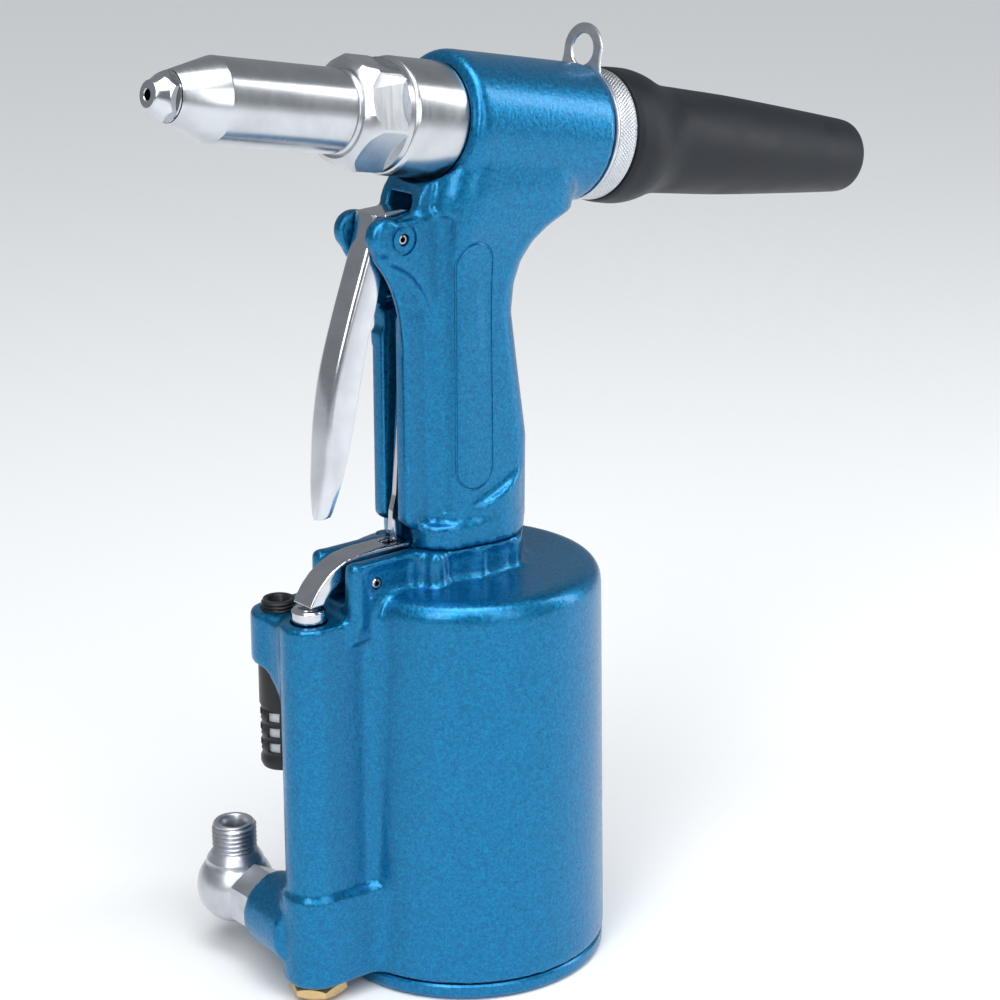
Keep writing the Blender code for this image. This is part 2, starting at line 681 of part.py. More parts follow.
def trigger_ear(side):
    lug = arc((-32.2, 217.6), 5.4, 40, 215, 6)
    sweep = eased([(-35.4, 212.6), (-30.6, 203.0), (-27.2, 194.0), (-26.2, 184.0)], 3)
    outline = [(-14, 228)] + [(-22, 224.2)] + lug + sweep + [(-14, 184.0)]
    middle = (EAR_INNER + EAR_OUTER) / 2 * (1 if side == "starboard" else -1)
    return side_plate("trigger_ear_" + side, outline, middle, EAR_OUTER - EAR_INNER, True)


def channel_wall(side):
    outline = [(-12, NECK_TOP - 0.6), (-24.4, NECK_TOP - 0.6), (-26.4, NECK_TOP + 1.4), (-26.4, 196.0),
               (-12, 198.0)]
    middle = 5.2 * (1 if side == "starboard" else -1)
    return side_plate("channel_wall_" + side, outline, middle, 5.0, True)


def make_handle_frame():
    shoulder = arc((HEAD_R - 3.0, HEAD_FRONT - 3.0), 3.0, 90, 0, 4)
    profile = [(0, HEAD_FRONT)] + shoulder + [(HEAD_R, HEAD_REAR + 0.8), (HEAD_R - 0.6, HEAD_REAR),
                                              (0, HEAD_REAR)]
    barrel = turned("handle_frame", profile, FINE, parent=HEAD)
    column = loft("handle_column", [
        (133.0, -18.0, 16.3, 15.9, 13.0), (138.0, -18.2, 15.8, 15.2, 11.5), (157.0, -18.8, 15.2, 14.6, 10.0),
        (178.0, -19.2, 11.9, 13.9, 9.0), (193.0, -19.4, 9.8, 13.5, 8.5),
        (201.0, -19.4, 10.8, 13.6, 8.5), (207.0, -19.4, 13.4, 14.0, 9.0),
        (212.0, -19.4, 17.6, 14.6, 9.5), (216.0, -19.2, 23.6, 15.6, 10.5),
        (219.5, -18.6, 31.0, 16.6, 11.5), (228.0, -17.6, 33.0, 17.6, 12.0),
        (240.0, -14.0, 32.0, 17.6, 12.0)], MEDIUM, True)
    neck = plan_slab("handle_neck", neck_outline(0), NECK_BASE, NECK_TOP, True)
    cheek = box("trigger_cheek", (-22.5, -8.6, 199.0), (-6.0, 8.6, 231.5))
    join(barrel, column, neck, cheek, trigger_ear("port"), trigger_ear("starboard"),
         channel_wall("port"), channel_wall("starboard"))
    slot = side_plate("trigger_slot", [(-60, 199.0), (-22.6, 199.0), (-13.0, 207.0), (-13.0, 228.0),
                                       (-60, 236.0)], 0, 2 * EAR_INNER, True)
    channel = box("rod_channel", (-30.0, -2.7, 130.0), (-16.6, 2.7, 210.0))
    window = box("channel_window", (-19.6, 1.0, 185.0), (-15.4, 18.0, 200.0))
    cut(barrel, slot, channel, window,
        lever_notch("neck_notch", 126, NECK_TOP + EPS),
        rod("oil_bore", OIL_BORE_R, GLAND_BORE_TOP - EPS, HEAD_Z, COARSE, as_tool=True),
        rod("gland_bore", GLAND_BORE_R, 120, GLAND_BORE_TOP, MEDIUM, as_tool=True),
        rod("head_bore", HEAD_BORE_R, HEAD_REAR - EPS, HEAD_FRONT + EPS, FINE, parent=HEAD, as_tool=True),
        rod("head_rear_bore", 16.3, HEAD_REAR - EPS, HEAD_REAR + 3.3, FINE, parent=HEAD, as_tool=True),
        across("trigger_pin_hole", PIN_R + GAP, *TRIGGER_PIVOT, -12, 12),
        rod("collar_clearance", COLLAR_R + 1.2, HEAD_FRONT, 40, FINE, parent=HEAD, as_tool=True),
        across("oil_screw_seat", 5.2, 0, OIL_SCREW_Z, OIL_SCREW_FACE, 24),
        across("oil_screw_hole", 2.4, 0, OIL_SCREW_Z, 3, 20), solver='MANIFOLD')
    return painted_blue(barrel)


def make_oil_screw():
    face = OIL_SCREW_FACE
    screw = hex_prism("oil_screw", 7.0, face + 1.0 + GAP, face + 4.3, as_tool=False)
    shank = rod("oil_screw_shank", 2.1, 9, face + 2, COARSE, as_tool=True)
    join(screw, shank)
    turn = (-math.pi / 2, 0, 0)
    put(screw, None, (0, (face + 1.0 + GAP + face + 4.3) / 2, OIL_SCREW_Z), turn)
    put(shank, None, (0, 0, OIL_SCREW_Z), turn)
    steel(screw)
    washer = tube("oil_screw_washer", 4.6, 2.4, face + GAP, face + 1.0, COARSE,
                  place=(0, 0, OIL_SCREW_Z), turn=turn)
    paint(washer, (0.6, 0.32, 0.2), 1.0, 0.4)


def make_front_collar():
    profile = [(COLLAR_R - 1.0, COLLAR_FRONT), (COLLAR_R, COLLAR_FRONT - 1.0),
               (COLLAR_R, HEAD_FRONT + GAP), (HEAD_BORE_R - GAP, HEAD_FRONT + GAP),
               (HEAD_BORE_R - GAP, 3.0), (ROD_R + GAP, 3.0), (ROD_R + GAP, 6.0), (8.0, 6.0), (8.0, 9.0),
               (ROD_R + GAP, 9.0), (ROD_R + GAP, 12.0), (12.6, 12.0), (12.6, COLLAR_FRONT)]
    steel(turned("front_collar", profile, MEDIUM, parent=HEAD))
    rubber(o_ring("rod_seal", 7.9, ROD_R + 0.1, 7.5, MEDIUM, parent=HEAD))


def make_nose_housing():
    body = hex_prism("nose_housing", 27.6, COLLAR_FRONT + GAP, HEX_FRONT, as_tool=False, start=0)
    middle = (COLLAR_FRONT + GAP + HEX_FRONT) / 2
    outside = turned("hex_chamfer", [(0, HEX_FRONT + 1), (NOSE_R, HEX_FRONT + 1), (15.5, 38.2),
                                     (15.5, 30.4), (14.4, COLLAR_FRONT - 1), (0, COLLAR_FRONT - 1)],
                     48, parent=HEAD, as_tool=True)
    keep(body, outside)
    front = turned("nose_outside", [(0, CONE_END), (6.9, CONE_END), (NOSE_R, CONE_START), (NOSE_R, 40),
                                    (0, 40)], FINE, parent=HEAD, as_tool=True)
    spigot = rod("nose_spigot", 12.3, 18, 30, FINE, parent=HEAD, as_tool=True)
    join(body, front, spigot)
    inside = turned("nose_inside", [(0, 100), (5.0, 100), (5.0, 85), (8.9, 83), (8.9, 17), (0, 17)], MEDIUM,
                    parent=HEAD, as_tool=True)
    cut(body, inside)
    put(body, HEAD, (0, 0, middle))
    steel(body)


def make_nosepiece():
    profile = [(MANDREL_R, TIP), (3.66, TIP), (5.9, 98.2), (6.5, 97.2), (6.5, CONE_END + GAP),
               (4.7, CONE_END + GAP), (4.7, 86.0), (4.2, 85.0), (2.2, 80.5), (MANDREL_R, 80.5)]
    body = turned("nosepiece", profile, MEDIUM, parent=HEAD)
    for side in (1, -1):
        low, high = sorted((side * 5.5, side * 9.0))
        flat_cut = box("tip_flat_%d" % (side + 2), (-9, low, -2.5), (9, high, 2.5))
        put(flat_cut, HEAD, (0, 0, 98.4))
        cut(body, flat_cut)
    steel(body)


def make_jaws():
    """Three jaws in a cone, pushed forward by the spring behind their pusher."""
    profile = [(8.4, 82.0), (8.4, 50.0), (ROD_R - 0.9, 50.0), (ROD_R - 0.9, 54.0), (6.6, 54.0),
               (6.6, 68.0), (4.8, 79.5), (4.8, 82.0)]
    steel(turned("jaw_case", profile, MEDIUM, parent=HEAD))
    for i in range(3):
        jaw = turned("jaw_%d" % (i + 1), [(2.0, 77.6), (4.6, 77.6), (5.9, 69.2), (5.9, 67.6),
                                          (3.4, 66.6), (1.3, 68.0), (1.3, 76.0)], COARSE, parent=HEAD)
        wedge_angle = 2 * math.pi * i / 3
        reach = 14.0
        half = math.radians(56)
        wedge = plan_slab("jaw_wedge_%d" % (i + 1),
                          [(0.0, 0.0), (reach * math.cos(half), -reach * math.sin(half)),
                           (reach, -reach * math.sin(half)), (reach, reach * math.sin(half)),
                           (reach * math.cos(half), reach * math.sin(half))], 60, 85, True)
        put(wedge, HEAD, (0.35 * math.cos(wedge_angle), 0.35 * math.sin(wedge_angle), 72.5),
            (0, 0, wedge_angle))
        keep(jaw, wedge)
        steel(jaw)
    steel(turned("jaw_pusher", [(3.0, 66.3), (5.9, 65.0), (5.9, 62.0), (3.9, 62.0), (3.9, 60.0),
                                (2.9, 60.0), (2.9, 66.3)], COARSE, parent=HEAD))
    steel(coil("jaw_spring", 5.2, 0.45, 54.8, 61.4, 4, parent=HEAD, per_turn=8))


def make_draw_piston():
    groove = HEAD_BORE_R - 3.2
    bore = 2.6
    profile = [(4.3, 60.0), (4.3, 49.6), (ROD_R, 49.6), (ROD_R, PISTON_FRONT),
               (HEAD_BORE_R - 0.2, PISTON_FRONT), (HEAD_BORE_R - 0.2, -12.6), (groove, -12.6),
               (groove, -16.4), (HEAD_BORE_R - 0.2, -16.4), (HEAD_BORE_R - 0.2, PISTON_REAR),
               (ROD_R, PISTON_REAR), (ROD_R, -26.0), (bore, -26.0), (bore, 60.0)]
    steel(turned("draw_piston", profile, MEDIUM, parent=HEAD))
    rubber(tube("piston_seal", HEAD_BORE_R - 0.1, groove + GAP, -16.1, -12.9, MEDIUM, parent=HEAD))
    steel(turned("mandrel_tube", [(2.3, 58.5), (2.3, -26.3), (3.4, -26.3), (3.4, -28.0), (2.3, -28.0),
                                  (2.3, -74.0), (MANDREL_R, -74.0), (MANDREL_R, 58.5)], COARSE, parent=HEAD))
    steel(coil("return_spring", 10.2, 1.0, -59.2, -21.3, 6, parent=HEAD, per_turn=10))


def make_rear_end():
    profile = [(16.0, -37.0), (16.0, -41.8), (18.6, -41.8), (18.6, RETAINER_REAR), (15.2, RETAINER_REAR),
               (15.2, -64.0), (3.9, -64.0), (3.9, -60.6), (12.6, -60.6), (12.6, -37.0)]
    zinc(turned("rear_retainer", profile, MEDIUM, parent=HEAD))
    plate_mid = -40.9
    eye = (23.2, 0.0)
    outline = (arc((0, 0), HEAD_R - 0.1, 24, 336, 20) + arc(eye, 7.2, 285, 435, 8))
    hanger = plan_slab("hanger", outline, -0.5, 0.5)
    cut(hanger,
        rod("hanger_bore", 16.3, -EPS, EPS, FINE, parent=HEAD, place=(0, 0, plate_mid), as_tool=True),
        rod("hanger_eye", 4.4, -EPS, EPS, COARSE, parent=HEAD,
            place=(eye[0], eye[1], plate_mid), as_tool=True), solver='MANIFOLD')
    put(hanger, HEAD, (0, 0, plate_mid))
    zinc(hanger)
    profile = [(15.5, RETAINER_REAR - GAP), (19.0, RETAINER_REAR - GAP), (19.1, -58.0),
               (17.6, -64.5), (15.4, -72.0), (14.3, -106.0), (12.2, -140.0),
               (11.1, CAP_REAR + 3.4), (10.3, CAP_REAR + 1.0), (8.6, CAP_REAR), (0, CAP_REAR),
               (0, -151.5), (6.6, -149.0), (9.0, -138.0), (11.0, -106.0), (12.4, -73.0), (15.5, -64.5)]
    rubber(mandrel_cap(profile))


def mandrel_cap(profile):
    """The hollow cap, closed at its rear end on the axis."""
    split = next(i for i, point in enumerate(profile) if point[0] == 0)
    outer = turned("mandrel_cap", [(0, profile[0][1])] + profile[1:split + 1], MEDIUM, parent=HEAD)
    inner = profile[split + 1:] + [(15.5, RETAINER_REAR + EPS), (0, RETAINER_REAR + EPS)]
    hollow = turned("mandrel_cap_hollow", list(reversed(inner)), MEDIUM, parent=HEAD, as_tool=True)
    return cut(outer, hollow)


make_air_cylinder()
make_cylinder_cap()
make_cylinder_inside()
make_neck_gland()
make_valve()
make_silencer()
make_inlet()
make_valve_lever()
make_pull_rod()
make_trigger()
make_handle_frame()
make_oil_screw()
make_front_collar()
make_nose_housing()
make_nosepiece()
make_jaws()
make_draw_piston()
make_rear_end()
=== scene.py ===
import json
import math

import bmesh
import bpy
from mathutils import Matrix, Vector


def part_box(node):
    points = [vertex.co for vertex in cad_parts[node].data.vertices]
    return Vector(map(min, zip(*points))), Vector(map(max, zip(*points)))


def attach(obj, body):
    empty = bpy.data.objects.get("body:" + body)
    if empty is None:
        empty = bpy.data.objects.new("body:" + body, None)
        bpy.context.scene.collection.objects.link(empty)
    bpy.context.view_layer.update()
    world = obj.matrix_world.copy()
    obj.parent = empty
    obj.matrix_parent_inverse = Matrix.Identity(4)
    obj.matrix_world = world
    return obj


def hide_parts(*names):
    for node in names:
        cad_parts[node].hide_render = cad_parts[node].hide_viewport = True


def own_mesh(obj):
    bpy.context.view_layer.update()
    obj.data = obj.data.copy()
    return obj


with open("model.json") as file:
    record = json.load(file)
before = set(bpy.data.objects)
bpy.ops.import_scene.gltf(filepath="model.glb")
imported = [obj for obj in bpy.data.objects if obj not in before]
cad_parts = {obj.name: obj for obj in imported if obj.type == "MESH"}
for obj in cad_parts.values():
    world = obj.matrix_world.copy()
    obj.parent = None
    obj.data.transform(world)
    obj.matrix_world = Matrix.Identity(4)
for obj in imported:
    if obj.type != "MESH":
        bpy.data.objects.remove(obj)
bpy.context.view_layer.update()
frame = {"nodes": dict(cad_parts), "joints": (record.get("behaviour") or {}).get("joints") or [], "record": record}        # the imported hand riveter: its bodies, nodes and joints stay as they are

mm = 0.001               # the shapes below are drawn in millimetres

joints = {joint["name"]: joint for joint in frame["joints"]}


def middleOf(node):
    low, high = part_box(node)
    return (low + high) / (2 * mm)


def pivotOf(joint):
    return Vector(joints[joint]["pos_m"]) / mm


valveAt = middleOf("valve_spool")
silencerAt = middleOf("silencer_core")
inletAt = pivotOf("inlet_swivel")
leverAt = pivotOf("lever_rock")
triggerAt = pivotOf("trigger_pull")
rodAt = pivotOf("rod_swing")
screwAt = middleOf("oil_screw")
noseWay = -Vector(joints["draw_stroke"]["axis"]).normalized()
headUp = Vector((noseWay.z, 0, -noseWay.x))
headHeight = 244.8       # where the head's axis crosses the cylinder's
headAxes = Matrix((headUp, (0, 1, 0), noseWay)).transposed()
alongHead = Matrix.Translation((0, 0, headHeight)) @ headAxes.to_4x4()
alongY = Matrix.Rotation(-math.pi / 2, 4, 'X')      # local +Z becomes +Y
alongX = Matrix(((0, 0, 1), (1, 0, 0), (0, 1, 0))).to_4x4()      # an outline drawn in Y and Z
turnOver = Matrix.Rotation(math.pi, 4, 'X')
pinHole = 1.75           # the rolled pins' holes in both castings


def moved(x, y, z):
    return Matrix.Translation((x, y, z))


def crossing(at):
    return moved(at.x, 0, at.z) @ alongY


def placed(name, data):
    obj = bpy.data.objects.new(name, data)
    bpy.context.scene.collection.objects.link(obj)
    return obj


# ways of making a shape

def rounded(points, cuts=5):
    # a third value on a point is the radius of its corner
    run = []
    for i, point in enumerate(points):
        corner = Vector(point[:2])
        if len(point) < 3:
            run.append(corner)
            continue
        before = Vector(points[i - 1][:2]) - corner
        after = Vector(points[(i + 1) % len(points)][:2]) - corner
        reach = point[2] / math.tan(before.angle(after) / 2)
        reach = min(reach, 0.49 * before.length, 0.49 * after.length)
        start = corner + before.normalized() * reach
        end = corner + after.normalized() * reach
        for k in range(cuts + 1):
            t = k / cuts
            run.append(start * (1 - t) ** 2 + corner * 2 * t * (1 - t) + end * t * t)
    return run


def bow(centre, radius, start, end, cuts=12):
    turns = [math.radians(start + (end - start) * k / cuts) for k in range(cuts + 1)]
    return [Vector((centre[0] + radius * math.cos(a), centre[1] + radius * math.sin(a))) for a in turns]


def flowing(points, cuts=6):
    # a smooth run through the points
    knots = [Vector(point) for point in [points[0], *points, points[-1]]]
    run = []
    for a, b, c, d in zip(knots, knots[1:], knots[2:], knots[3:]):
        for k in range(cuts):
            t = k / cuts
            run.append(0.5 * (2 * b + (c - a) * t + (2 * a - 5 * b + 4 * c - d) * t * t
                              + (3 * b - a - 3 * c + d) * t * t * t))
    run.append(knots[-1])
    return run


def revolve(shape, geom, steps):
    bmesh.ops.spin(shape, geom=geom, cent=(0, 0, 0), axis=(0, 0, 1), angle=2 * math.pi,
                   steps=steps, use_merge=True, use_duplicate=False)
    bmesh.ops.remove_doubles(shape, verts=shape.verts, dist=0.0005)


def spun(profile, steps=96, place=None):
    # a turned shape from (radius, height) points; a ring if it starts off the axis
    shape = bmesh.new()
    verts = [shape.verts.new((point[0], 0, point[1])) for point in profile]
    edges = [shape.edges.new(pair) for pair in zip(verts, verts[1:])]
    if profile[0][0] > 0:
        edges.append(shape.edges.new((verts[-1], verts[0])))
    revolve(shape, verts + edges, steps)
    bmesh.ops.recalc_face_normals(shape, faces=shape.faces)
    if place:
        shape.transform(place)
    return shape


def rod(radius, low, high, steps=48, place=None):
    return spun([(0, high), (radius, high), (radius, low), (0, low)], steps, place)


def tubeWall(radius, low, high, rows, steps):
    # an open tube in rows, ready to have a pattern pushed into it
    shape = bmesh.new()
    chain = [shape.verts.new((radius, 0, low + (high - low) * i / rows)) for i in range(rows + 1)]
    edges = [shape.edges.new(pair) for pair in zip(chain, chain[1:])]
    revolve(shape, chain + edges, steps)
    return shape


def setRadius(vert, radius):
    flat = Vector((vert.co.x, vert.co.y)).normalized() * radius
    vert.co.x = flat.x
    vert.co.y = flat.y


def closeTube(shape, rims):
    # each open rim is carried on through (radius, height) steps, then the last two rings are joined
    ends = []
    for height, steps in rims:
        ring = [e for e in shape.edges if all(abs(v.co.z - height) < 1e-4 for v in e.verts)]
        for radius, at in steps:
            made = bmesh.ops.extrude_edge_only(shape, edges=ring)["geom"]
            ring = [item for item in made if isinstance(item, bmesh.types.BMEdge)]
            for vert in {v for e in ring for v in e.verts}:
                setRadius(vert, radius)
                vert.co.z = at
        ends.append(ring)
    bmesh.ops.bridge_loops(shape, edges=ends[0] + ends[1])
    bmesh.ops.recalc_face_normals(shape, faces=shape.faces)
    return shape


def slab(outline, low, high, place=None, edge=0.0, cuts=2):
    shape = bmesh.new()
    face = shape.faces.new([shape.verts.new((point[0], point[1], low)) for point in outline])
    made = bmesh.ops.extrude_face_region(shape, geom=[face])
    top = [item for item in made["geom"] if isinstance(item, bmesh.types.BMVert)]
    bmesh.ops.translate(shape, verts=top, vec=(0, 0, high - low))
    bmesh.ops.recalc_face_normals(shape, faces=shape.faces)
    if edge:
        rim = [e for e in shape.edges if abs(e.verts[0].co.z - e.verts[1].co.z) < 1e-6]
        bmesh.ops.bevel(shape, geom=rim, offset=edge, offset_type='OFFSET', segments=cuts, profile=0.5,
                        affect='EDGES', clamp_overlap=True, material=-1)
    if place:
        shape.transform(place)
    return shape


def sideSlab(outline, middle, thickness, edge=0.0, cuts=2):
    # the outline is drawn in X and Z
    place = moved(0, middle, 0) @ Matrix.Rotation(math.pi / 2, 4, 'X')
    return slab(outline, -thickness / 2, thickness / 2, place, edge, cuts)


def block(low, high):
    shape = bmesh.new()
    bmesh.ops.create_cube(shape, size=1)
    size = Vector(high) - Vector(low)
    bmesh.ops.scale(shape, vec=size, verts=shape.verts)
    bmesh.ops.translate(shape, vec=Vector(low) + size / 2, verts=shape.verts)
    return shape


def hexagonal(acrossFlats, low, high, turn, chamfer):
    # a hexagon with its corners turned off to a cone at both ends
    outline = bow((0, 0), acrossFlats / math.sqrt(3), turn, turn + 300, 5)
    inner = acrossFlats / 2 * 0.985
    outer = acrossFlats / math.sqrt(3) * 1.02
    drop = (outer - inner) * chamfer
    envelope = spun([(0, high), (inner, high), (outer, high - drop), (outer, low + drop),
                     (inner, low), (0, low)], 96)
    body = draft(slab(outline, low - 1, high + 1))
    return shapeOf(carve(body, envelope, 'INTERSECT', 'MANIFOLD'))


def loft(sections, count=64):
    # rounded-rectangle rings, bridged: (height, front, rear, half width, corner)
    shape = bmesh.new()
    rings = []
    for height, front, rear, half, corner in sections:
        ring = []
        for i in range(count):
            angle = 2 * math.pi * (i + 0.5) / count
            x = math.copysign((rear - front) / 2 - corner, math.cos(angle)) + corner * math.cos(angle)
            y = math.copysign(half - corner, math.sin(angle)) + corner * math.sin(angle)
            ring.append(shape.verts.new(((front + rear) / 2 + x, y, height)))
        rings.append([shape.edges.new((ring[i - 1], ring[i])) for i in range(count)])
    for low, high in zip(rings, rings[1:]):
        bmesh.ops.bridge_loops(shape, edges=low + high)
    for ring in (rings[0], rings[-1]):
        bmesh.ops.edgeloop_fill(shape, edges=ring)
    bmesh.ops.recalc_face_normals(shape, faces=shape.faces)
    return shape


def draft(shape, name="draft"):
    # a working object, removed once its shape is used
    mesh = bpy.data.meshes.new(name)
    shape.to_mesh(mesh)
    shape.free()
    return placed(name, mesh)


def shapeOf(obj):
    shape = bmesh.new()
    shape.from_mesh(obj.data)
    bpy.data.objects.remove(obj)
    return shape


def evaluated(obj):
    bpy.context.view_layer.update()
    return bpy.data.meshes.new_from_object(obj.evaluated_get(bpy.context.evaluated_depsgraph_get()))


def settle(obj):
    # the modifiers' result becomes the object's own mesh
    mesh = evaluated(obj)
    obj.modifiers.clear()
    obj.data = mesh
    return obj


def carve(obj, tool, operation='DIFFERENCE', solver='EXACT'):
    if isinstance(tool, bmesh.types.BMesh):
        tool = draft(tool)
    cutting = obj.modifiers.new("carve", 'BOOLEAN')
    cutting.operation = operation
    cutting.solver = solver
    cutting.object = tool
    settle(obj)
    bpy.data.objects.remove(tool)
    return obj


def gathered(shapes):
    whole = bmesh.new()
    for shape in shapes:
        mesh = bpy.data.meshes.new("gathered")
        shape.to_mesh(mesh)
        shape.free()
        whole.from_mesh(mesh)
        bpy.data.meshes.remove(mesh)
    return whole


def skinned(obj, grain, rounds):
    # one even skin over overlapping shapes, with its corners eased as a casting's are
    skin = obj.modifiers.new("skin", 'REMESH')
    skin.mode = 'VOXEL'
    skin.voxel_size = grain
    if rounds:
        ease = obj.modifiers.new("ease", 'SMOOTH')
        ease.factor = 0.5
        ease.iterations = rounds
    return settle(obj)


def carveAll(obj, shapes):
    # cuts in one go each, for closed shapes only
    for shape in shapes:
        carve(obj, shape, 'DIFFERENCE', 'MANIFOLD')
    return obj


def piece(name, made, body, slotName, replaced=(), crease=32.0, finish=None):
    # the finished piece, in metres, on its body; its finish is its slot's if none is given
    obj = made if isinstance(made, bpy.types.Object) else draft(made)
    obj.name = name
    obj.data.name = name
    obj.data.transform(Matrix.Scale(mm, 4))
    obj.data.materials.clear()
    obj.data.materials.append(finish or finishOf[slotName])
    obj.data.shade_smooth()
    if crease:
        obj.data.set_sharp_from_angle(angle=math.radians(crease))
    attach(obj, body)
    if replaced:
        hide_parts(*replaced)
    return obj


# finishes

def newFinish(name):
    material = bpy.data.materials.new(name)
    material.use_nodes = True
    nodes = material.node_tree.nodes
    shader = nodes["Principled BSDF"]
    coords = nodes.new('ShaderNodeTexCoord')
    return material, material.node_tree, shader, coords.outputs["Object"]


def addNoise(tree, source, scale, detail=2.0, stretch=None):
    if stretch:
        mapping = tree.nodes.new('ShaderNodeMapping')
        mapping.inputs["Scale"].default_value = stretch
        tree.links.new(source, mapping.inputs["Vector"])
        source = mapping.outputs["Vector"]
    texture = tree.nodes.new('ShaderNodeTexNoise')
    texture.inputs["Scale"].default_value = scale
    texture.inputs["Detail"].default_value = detail
    tree.links.new(source, texture.inputs["Vector"])
    return texture.outputs["Fac"]


def addRamp(tree, source, stops):
    ramp = tree.nodes.new('ShaderNodeValToRGB')
    tree.links.new(source, ramp.inputs["Fac"])
    points = ramp.color_ramp.elements
    while len(points) < len(stops):
        points.new(0.5)
    for point, (place, colour) in zip(points, stops):
        point.position = place
        point.color = (*colour, 1.0) if len(colour) == 3 else colour
    return ramp.outputs["Color"]


def grey(value):
    return (value, value, value)


def addBump(tree, source, strength, distance, before=None):
    bump = tree.nodes.new('ShaderNodeBump')
    bump.inputs["Strength"].default_value = strength
    bump.inputs["Distance"].default_value = distance
    tree.links.new(source, bump.inputs["Height"])
    if before:
        tree.links.new(before, bump.inputs["Normal"])
    return bump.outputs["Normal"]


hammerLook = {
    "deep": (0.0, 0.115, 0.265),      # between the flakes
    "body": (0.0, 0.155, 0.345),
    "flake": (0.0, 0.225, 0.455),     # the brightest flakes
    "flakeScale": 2000.0,             # cells a metre
    "dimpleScale": 900.0,
    "roughness": (0.26, 0.42),
}


def makeHammerBlue():
    look = hammerLook
    material, tree, shader, place = newFinish("hammerBlue")
    cells = tree.nodes.new('ShaderNodeTexVoronoi')
    cells.inputs["Scale"].default_value = look["flakeScale"]
    cells.inputs["Randomness"].default_value = 1.0
    tree.links.new(place, cells.inputs["Vector"])
    split = tree.nodes.new('ShaderNodeSeparateColor')
    tree.links.new(cells.outputs["Color"], split.inputs["Color"])
    drift = addNoise(tree, place, look["dimpleScale"], 3.0)
    mix = tree.nodes.new('ShaderNodeMath')
    mix.operation = 'MULTIPLY_ADD'
    mix.inputs[1].default_value = 0.42
    tree.links.new(split.outputs["Red"], mix.inputs[0])
    half = tree.nodes.new('ShaderNodeMath')
    half.operation = 'MULTIPLY'
    half.inputs[1].default_value = 0.62
    tree.links.new(drift, half.inputs[0])
    tree.links.new(half.outputs[0], mix.inputs[2])
    colour = addRamp(tree, mix.outputs[0], [(0.24, look["deep"]), (0.52, look["body"]),
                                            (0.86, look["flake"])])
    tree.links.new(colour, shader.inputs["Base Color"])
    shader.inputs["Metallic"].default_value = 0.80
    gloss = addRamp(tree, drift, [(0.3, grey(look["roughness"][0])), (0.7, grey(look["roughness"][1]))])
    tree.links.new(gloss, shader.inputs["Roughness"])
    dimples = addBump(tree, drift, 0.32, 0.00035)
    grains = addBump(tree, split.outputs["Red"], 0.10, 0.00012, dimples)
    tree.links.new(grains, shader.inputs["Normal"])
    shader.inputs["Coat Weight"].default_value = 0.30
    shader.inputs["Coat Roughness"].default_value = 0.16
    return material


steelLooks = {
    "turnedSteel": {"colour": (0.58, 0.60, 0.63), "roughness": (0.20, 0.27), "lines": 2600.0},
    "polishedSteel": {"colour": (0.62, 0.64, 0.68), "roughness": (0.12, 0.18), "lines": 700.0},
    "zincPlate": {"colour": (0.60, 0.62, 0.66), "roughness": (0.30, 0.42), "lines": 900.0},
    "aluminium": {"colour": (0.70, 0.71, 0.72), "roughness": (0.30, 0.45), "lines": 1400.0},
    "brass": {"colour": (0.70, 0.49, 0.24), "roughness": (0.26, 0.44), "lines": 1300.0},
    "copper": {"colour": (0.62, 0.30, 0.18), "roughness": (0.30, 0.50), "lines": 1100.0},
}


def makeMetal(name, turn=None):
    # tool marks run round the Z axis of the chosen turn
    look = steelLooks[name]
    material, tree, shader, place = newFinish(name if turn is None else name + "Head")
    if turn:
        mapping = tree.nodes.new('ShaderNodeMapping')
        mapping.inputs["Rotation"].default_value = turn
        tree.links.new(place, mapping.inputs["Vector"])
        place = mapping.outputs["Vector"]
    marks = addNoise(tree, place, 1.0, 2.0, (60.0, 60.0, look["lines"]))
    stain = addNoise(tree, place, 140.0, 4.0)
    dark = tuple(0.86 * value for value in look["colour"])
    colour = addRamp(tree, stain, [(0.3, dark), (0.65, look["colour"])])
    tree.links.new(colour, shader.inputs["Base Color"])
    shader.inputs["Metallic"].default_value = 1.0
    gloss = addRamp(tree, marks, [(0.3, grey(look["roughness"][0])), (0.7, grey(look["roughness"][1]))])
    tree.links.new(gloss, shader.inputs["Roughness"])
    tree.links.new(addBump(tree, marks, 0.05, 0.00002), shader.inputs["Normal"])
    return material


darkLooks = {
    "blackRubber": {"colour": (0.006, 0.008, 0.012), "worn": (0.012, 0.016, 0.022),
                    "roughness": (0.42, 0.56), "grain": 900.0, "bump": 0.10},
    "sealRubber": {"colour": (0.012, 0.012, 0.013), "worn": (0.022, 0.022, 0.024),
                   "roughness": (0.45, 0.60), "grain": 1500.0, "bump": 0.08},
    "blackPlastic": {"colour": (0.010, 0.011, 0.013), "worn": (0.020, 0.022, 0.026),
                     "roughness": (0.28, 0.46), "grain": 1200.0, "bump": 0.10},
    "feltWhite": {"colour": (0.62, 0.66, 0.70), "worn": (0.82, 0.85, 0.87),
                  "roughness": (0.75, 0.95), "grain": 2400.0, "bump": 0.60},
}


def makeDull(name):
    look = darkLooks[name]
    material, tree, shader, place = newFinish(name)
    wear = addNoise(tree, place, 90.0, 5.0)
    grain = addNoise(tree, place, look["grain"], 3.0)
    colour = addRamp(tree, wear, [(0.35, look["colour"]), (0.75, look["worn"])])
    tree.links.new(colour, shader.inputs["Base Color"])
    gloss = addRamp(tree, wear, [(0.3, grey(look["roughness"][0])), (0.7, grey(look["roughness"][1]))])
    tree.links.new(gloss, shader.inputs["Roughness"])
    tree.links.new(addBump(tree, grain, look["bump"], 0.0001), shader.inputs["Normal"])
    shader.inputs["Specular IOR Level"].default_value = 0.28
    return material


